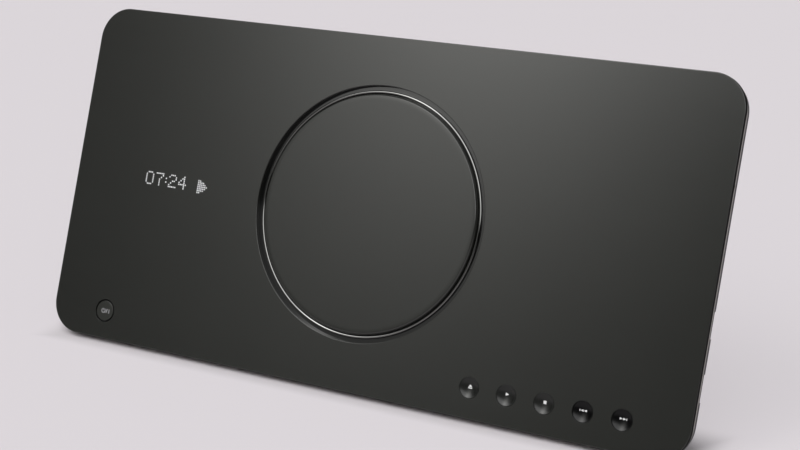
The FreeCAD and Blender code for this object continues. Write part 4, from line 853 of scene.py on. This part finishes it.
def ink_slip(bm, outline, centre, surface):
    """A thin prism from an outline in panel millimetres, laid on the surface below it."""
    verts = [bm.verts.new((centre[0] + x, 0, centre[1] + z)) for x, z in outline]
    face = bm.faces.new(verts)
    grown = bmesh.ops.extrude_face_region(bm, geom=[face])["geom"]
    back = {part for part in grown if isinstance(part, bmesh.types.BMVert)}
    for vert in verts + list(back):
        depth = surface(math.hypot(vert.co.x - centre[0], vert.co.z - centre[1]))
        vert.co.y = depth + (ink_sunk if vert in back else -ink_proud)


def flat(radius):
    """The depth of the front's own face, the same at any distance."""
    return 0.0


def bar(x, z, width, height):
    """A rectangle's outline about its middle."""
    return [(x - width / 2, z - height / 2), (x + width / 2, z - height / 2),
            (x + width / 2, z + height / 2), (x - width / 2, z + height / 2)]


def arrow(x, z, width, height):
    """A triangle that points right, or left where its width is negative."""
    return [(x, z - height / 2), (x + width, z), (x, z + height / 2)]


print("ink ready")

# %% [markdown]
# In the photograph every symbol sits a little above and to the right of its dish's middle. The slanted
# view of print that lies deeper than the front accounts for part of that, and a small shift for the rest.

# %% Symbols on the dished keys
symbols = {
    "key_eject": [[(-1.05, -0.2), (1.05, -0.2), (0, 1.0)], bar(0, -0.7, 2.1, 0.45)],
    "key_play": [arrow(-0.75, 0, 1.7, 1.6)],
    "key_stop": [bar(0, 0, 1.5, 1.5)],
    "key_previous": [bar(-1.8, 0, 0.26, 1.1), arrow(0, 0, -1.5, 1.15), arrow(1.65, 0, -1.5, 1.15)],
    "key_next": [arrow(-1.65, 0, 1.5, 1.15), arrow(0, 0, 1.5, 1.15), bar(1.8, 0, 0.26, 1.1)],
}
symbol_shift = (0.3, 0.65)
for key, outlines in symbols.items():
    bm = bmesh.new()
    for outline in outlines:
        moved = [(x + symbol_shift[0], z + symbol_shift[1]) for x, z in outline]
        ink_slip(bm, moved, (key_spots[key], key_height), dish)
    finish_piece(key + "_symbol", bm, white_ink, key, sharp=20.0)

# %% [markdown]
# The power key carries the usual broken ring with a bar, then a stroke and a bar for standby and on.

# %% Symbol on the power key
bm = bmesh.new()
ring_place = -0.9
gap_half_angle = 40
stroke = 0.3
symbol_radius = 1.1
strokes = 14
sweep = (360 - 2 * gap_half_angle) / strokes
for step in range(strokes):
    start = 90 + gap_half_angle + sweep * step
    inner = arc((ring_place, 0), symbol_radius - stroke / 2, start, start + sweep, 1)
    outer = arc((ring_place, 0), symbol_radius + stroke / 2, start + sweep, start, 1)
    ink_slip(bm, inner + outer, power_spot, flat)
slant = [(0.75, -1.1), (1.1, -1.1), (1.7, 1.1), (1.35, 1.1)]
for outline in (bar(ring_place, 0.8, stroke, 1.0), slant, bar(2.75, -0.1, stroke, 2.2)):
    ink_slip(bm, outline, power_spot, flat)
finish_piece("key_power_symbol", bm, grey_ink, "key_power", sharp=20.0)

# %% [markdown]
# ## The display
#
# The display's cells shine through the dark lacquer as small pale squares, seven rows high. This one
# shows a plain counter and the play arrow. A character is five columns wide, drawn here as seven rows of
# marks, and each lit cell is its own thin slip, since a printed picture of dots would blur up close.

# %% Lit cells
cell_pitch = (1.05, 1.02)
cell_size = (0.68, 0.68)
counter_left = -135.0
counter_top = 3.8
arrow_left = -101.8
arrow_top = 3.2
characters = {
    "0": ".###. #...# #...# #...# #...# #...# .###.",
    "2": ".###. #...# ....# ..##. .#... #.... #####",
    "4": "...#. ..##. .#.#. #..#. ##### ...#. ...#.",
    "7": "##### ....# ...#. ..#.. ..#.. ..#.. ..#..",
    ":": ". . # . # . .",
}
counter = "07:24"
arrow_rows = "##.... ####.. #####. ###### #####. ####.. ##...."


def lit_cells(bm, rows, left, top):
    """Thin squares for the marks of one character; returns its width in columns."""
    for down, marks in enumerate(rows.split()):
        for right, mark in enumerate(marks):
            if mark == "#":
                spot = (left + (right + 0.5) * cell_pitch[0], top - (down + 0.5) * cell_pitch[1])
                ink_slip(bm, bar(0, 0, *cell_size), spot, flat)
    return len(rows.split()[0])


def lit_display(name, colour):
    finish = Finish(name, Emission_Strength=0.35)
    glow = finish.grain(0.5, 1.0)
    tone = finish.mix(glow, shade(colour, 0.9), colour)
    finish.set(Base_Color=tone, Emission_Color=tone, Roughness=0.35 + (glow - 0.5) * 0.1)
    return finish.material


cell_light = lit_display("lit_cells", (0.49, 0.49, 0.50))
bm = bmesh.new()
left = counter_left
for character in counter:
    left += (lit_cells(bm, characters[character], left, counter_top) + 1) * cell_pitch[0]
lit_cells(bm, arrow_rows, arrow_left, arrow_top)
finish_piece("display_cells", bm, cell_light, "player", sharp=20.0)
print("the counter ends at", round(left, 1))

# %% [markdown]
# ## Shells that are already right
#
# The trim, the housing, the slot's mouth, the leg and the screws need no new form, only smooth shading.
# A node's mesh is loose triangles, so a copy is joined up, and triangles that lie in one plane become
# one face again: its area then outweighs the thin rounds beside it, and the flats stay free of streaks.
# Curved walls are shaded smooth, and a fine bevel takes the knife edge off where it shows: moulded and
# cast edges are never sharp, and the thin light along a rounded edge is what makes it look real.

# %% Smoothed copies of nodes
one_plane = math.radians(0.2)
true_edge = math.radians(50)


def smoothed(node, edge):
    """A joined and softened copy that stands for its node."""
    bm = merged(node)
    bmesh.ops.dissolve_limit(bm, angle_limit=one_plane, verts=bm.verts, edges=bm.edges)
    bmesh.ops.transform(bm, matrix=leaned, verts=bm.verts)
    mesh = bpy.data.meshes.new(node + "_shell")
    bm.to_mesh(mesh)
    bm.free()
    piece = settle(mesh.name, mesh, finish_of_node[node], body_of_node[node], 32.0)
    if edge:
        bevel = piece.modifiers.new("soft_edges", "BEVEL")
        bevel.width = edge * mm
        bevel.segments = 2
        bevel.limit_method = "ANGLE"
        bevel.angle_limit = true_edge
        bevel.harden_normals = False
        piece.modifiers.move(1, 0)
    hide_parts(node)


edge_of_shell = {
    "trim_frame": 0.12, "rear_cover": 0.0, "slot_bezel": 0.0, "stand_leg": 0.3, "cover_screws": 0.0,
    "leg_pin": 0.0, "hdmi_socket": 0.0, "dc_inlet": 0.0, "slot_felts": 0.0, "component_jacks": 0.0,
    "av_jacks": 0.0,
}
for node, edge in edge_of_shell.items():
    smoothed(node, edge)
print("smoothed:", ", ".join(edge_of_shell))

# %% [markdown]
# ## Floor, light and camera
#
# The photograph is a plain studio shot: a pale, slightly lilac sweep, a broad sheen over the front from
# a soft light to the left of the camera, and soft light from above. The floor could be a curved sweep,
# but a large flat disc reaches the horizon from every side and needs no turning.

# %% Floor
floor_radius = 9.0
bm = bmesh.new()
bmesh.ops.create_circle(bm, cap_ends=True, segments=96, radius=floor_radius)
floor_mesh = bpy.data.meshes.new("studio_floor")
bm.to_mesh(floor_mesh)
bm.free()
floor = bpy.data.objects.new("studio_floor", floor_mesh)
bpy.context.collection.objects.link(floor)
print("floor radius", floor_radius)

# %% [markdown]
# The paper is paler to the eye than its light on the player may be: camera, glossy and transmission rays
# see it with an even glow mixed in, which also thins the shadow to the faint one of the photograph. The
# glow fades out under the player, so the dark line where it touches the floor stays. It comes back
# between two distances, in metres: to the sides, in front, and behind.

# %% Paper
floor_tone = (0.520, 0.492, 0.512)
seen_tone = (0.755, 0.714, 0.745)
seen_share = 0.7
glow_beside = (0.172, 0.190)
glow_in_front = (0.054, 0.063)
glow_behind = (-0.03, 0.0)
paper = Finish("studio_paper")
mottle = paper.grain(60.0, 3.0)
paper_tone = paper.mix(mottle, shade(floor_tone, 0.985), floor_tone)
paper.set(Base_Color=paper_tone, Roughness=0.85 + (mottle - 0.5) * 0.05)
rays = paper.node("ShaderNodeLightPath").socket.node.outputs
seen = Reading(paper, rays["Is Camera Ray"])
for ray in ("Is Glossy Ray", "Is Transmission Ray"):
    seen = paper.maths("MAXIMUM", seen, Reading(paper, rays[ray]))
glow = paper.node("ShaderNodeEmission", None, {"Color": (*seen_tone, 1.0), "Strength": 1.0})
lit = Reading(paper, paper.shader.outputs[0])
right, back, up = paper.split(paper.node("ShaderNodeTexCoord", output=3))
away = paper.maths("ABSOLUTE", right).between(*glow_beside)
away = paper.maths("MAXIMUM", away, (back * -1.0).between(*glow_in_front))
away = paper.maths("MAXIMUM", away, back.between(*glow_behind))
both = paper.node("ShaderNodeMixShader", None, {0: seen * away * seen_share, 1: lit, 2: glow})
paper.feed(paper.tree.nodes["Material Output"].inputs["Surface"], both)
floor_mesh.materials.append(paper.material)
print("paper seen as", seen_tone)

# %% [markdown]
# The world is written as a function of direction, so each direction is first read as two angles: how
# high it points, and how far it turns from straight ahead of the front.

# %% Directions in the room
world = bpy.data.worlds.new("soft_studio")
bpy.context.scene.world = world
world.use_nodes = True
sky = Tree(world.node_tree)
east, north, height = sky.split(sky.node("ShaderNodeTexCoord"))
degrees = 180.0 / math.pi
elevation = sky.maths("ARCSINE", height) * degrees
azimuth = sky.maths("ARCTAN2", east, north * -1.0) * degrees
print("directions are read in degrees")

# %% [markdown]
# The lacquer shows where the soft light stands, since each point of the front mirrors one direction:
# it is brightest towards 30 degrees left of straight ahead and 40 degrees above the horizon. That light
# is a smooth lobe. A lamp could do it, but its edge would cut a hard line across the lacquer, and the
# photograph shows none.

# %% Sheen over the front
lobe_azimuth = -29.5
lobe_elevation = 40.0
lobe_width = 8.0
lobe_height = 16.0
lobe_strength = 6.7
lobe_tone = (1.0, 1.0, 0.965)
sideways = (azimuth - lobe_azimuth) / lobe_width
upwards = (elevation - lobe_elevation) / lobe_height
lobe = sky.maths("EXPONENT", (sideways * sideways + upwards * upwards) * -1.0)
lobe_sockets = {0: lobe_tone, "Scale": lobe * lobe_strength}
lobe_light = sky.node("ShaderNodeVectorMath", {"operation": "SCALE"}, lobe_sockets)
print("lobe at", lobe_azimuth, lobe_elevation)

# %% [markdown]
# Round the lobe there is a pale band at the horizon that continues the floor, a dim room above it, and a
# bright ceiling over the front of the table. The bead in the channel tells where that ceiling ends,
# since round its whole length it mirrors another slice of the room: it is lit from the upper left over
# the top to the right, and again from the bottom to the left, and dark at the lower right.

# %% World
room_tone = (0.035, 0.035, 0.036)
dim_ceiling_tone = (0.45, 0.45, 0.45)
bright_ceiling_tone = (3.5, 3.5, 3.5)
pale_tone = (0.69, 0.66, 0.68)
horizon_end = (2.0, 7.0)
dim_ceiling_start = (32.0, 44.0)
bright_ceiling_start = (23.0, 31.0)
ceiling_left = (-58.0, -49.0)
ceiling_right = (45.0, 60.0)
ceiling_tilt = 0.2
tilt_reach = 25.0
held_azimuth = sky.node("ShaderNodeClamp", None, {0: azimuth, 1: -tilt_reach, 2: tilt_reach})
above_front = (elevation + held_azimuth * ceiling_tilt).between(*bright_ceiling_start)
over_front = above_front * azimuth.between(*ceiling_left) * (1 - azimuth.between(*ceiling_right))
room = sky.mix(elevation.between(*dim_ceiling_start), room_tone, dim_ceiling_tone)
room = sky.mix(over_front, room, bright_ceiling_tone)
room = sky.mix(1 - elevation.between(*horizon_end), room, pale_tone)
radiance = sky.node("ShaderNodeVectorMath", {"operation": "ADD"}, {0: room, 1: lobe_light})
sky.feed(sky.tree.nodes["Background"].inputs["Color"], radiance)
print("world ready")

# %% [markdown]
# One lamp gives the player its direct light and its soft shadow. It is a large soft box, set by the
# radiance of its face, so its size can change without changing how bright it looks in a reflection.

# %% Lamp
box_azimuth = math.radians(-30)
box_elevation = math.radians(58)
box_distance = 2.6
box_width = 0.7
box_height = 0.9
box_radiance = 2.0
lamp = bpy.data.lights.new("tall_soft_box", "AREA")
lamp.shape = "RECTANGLE"
lamp.size = box_width
lamp.size_y = box_height
lamp.energy = box_radiance * math.pi * box_width * box_height
level = math.cos(box_elevation)
outwards = Vector((math.sin(box_azimuth) * level, -math.cos(box_azimuth) * level, math.sin(box_elevation)))
box = bpy.data.objects.new("tall_soft_box", lamp)
box.location = face_middle + outwards * box_distance
box.rotation_mode = "QUATERNION"
box.rotation_quaternion = outwards.to_track_quat("Z", "Y")
bpy.context.collection.objects.link(box)
print("lamp of", round(lamp.energy, 2), "W")

# %% [markdown]
# The camera's place and lens come from the front's four corners in the photograph: a rectangle of known
# size seen in perspective fixes both. It looks down by 17 degrees, without roll and without shift.

# %% Camera
camera_place = Vector((0.4020, -0.7109, 0.3289))
camera_direction = Vector((-0.4644, 0.8338, -0.2985))
lens = bpy.data.cameras.new("camera")
lens.lens = 76.23
lens.sensor_width = 36.0
camera = bpy.data.objects.new("camera", lens)
camera.location = camera_place
camera.rotation_mode = "QUATERNION"
camera.rotation_quaternion = camera_direction.to_track_quat("-Z", "Y")
bpy.context.collection.objects.link(camera)
bpy.context.scene.camera = camera
bpy.context.scene.view_settings.view_transform = "Standard"
print("camera at", tuple(camera_place))
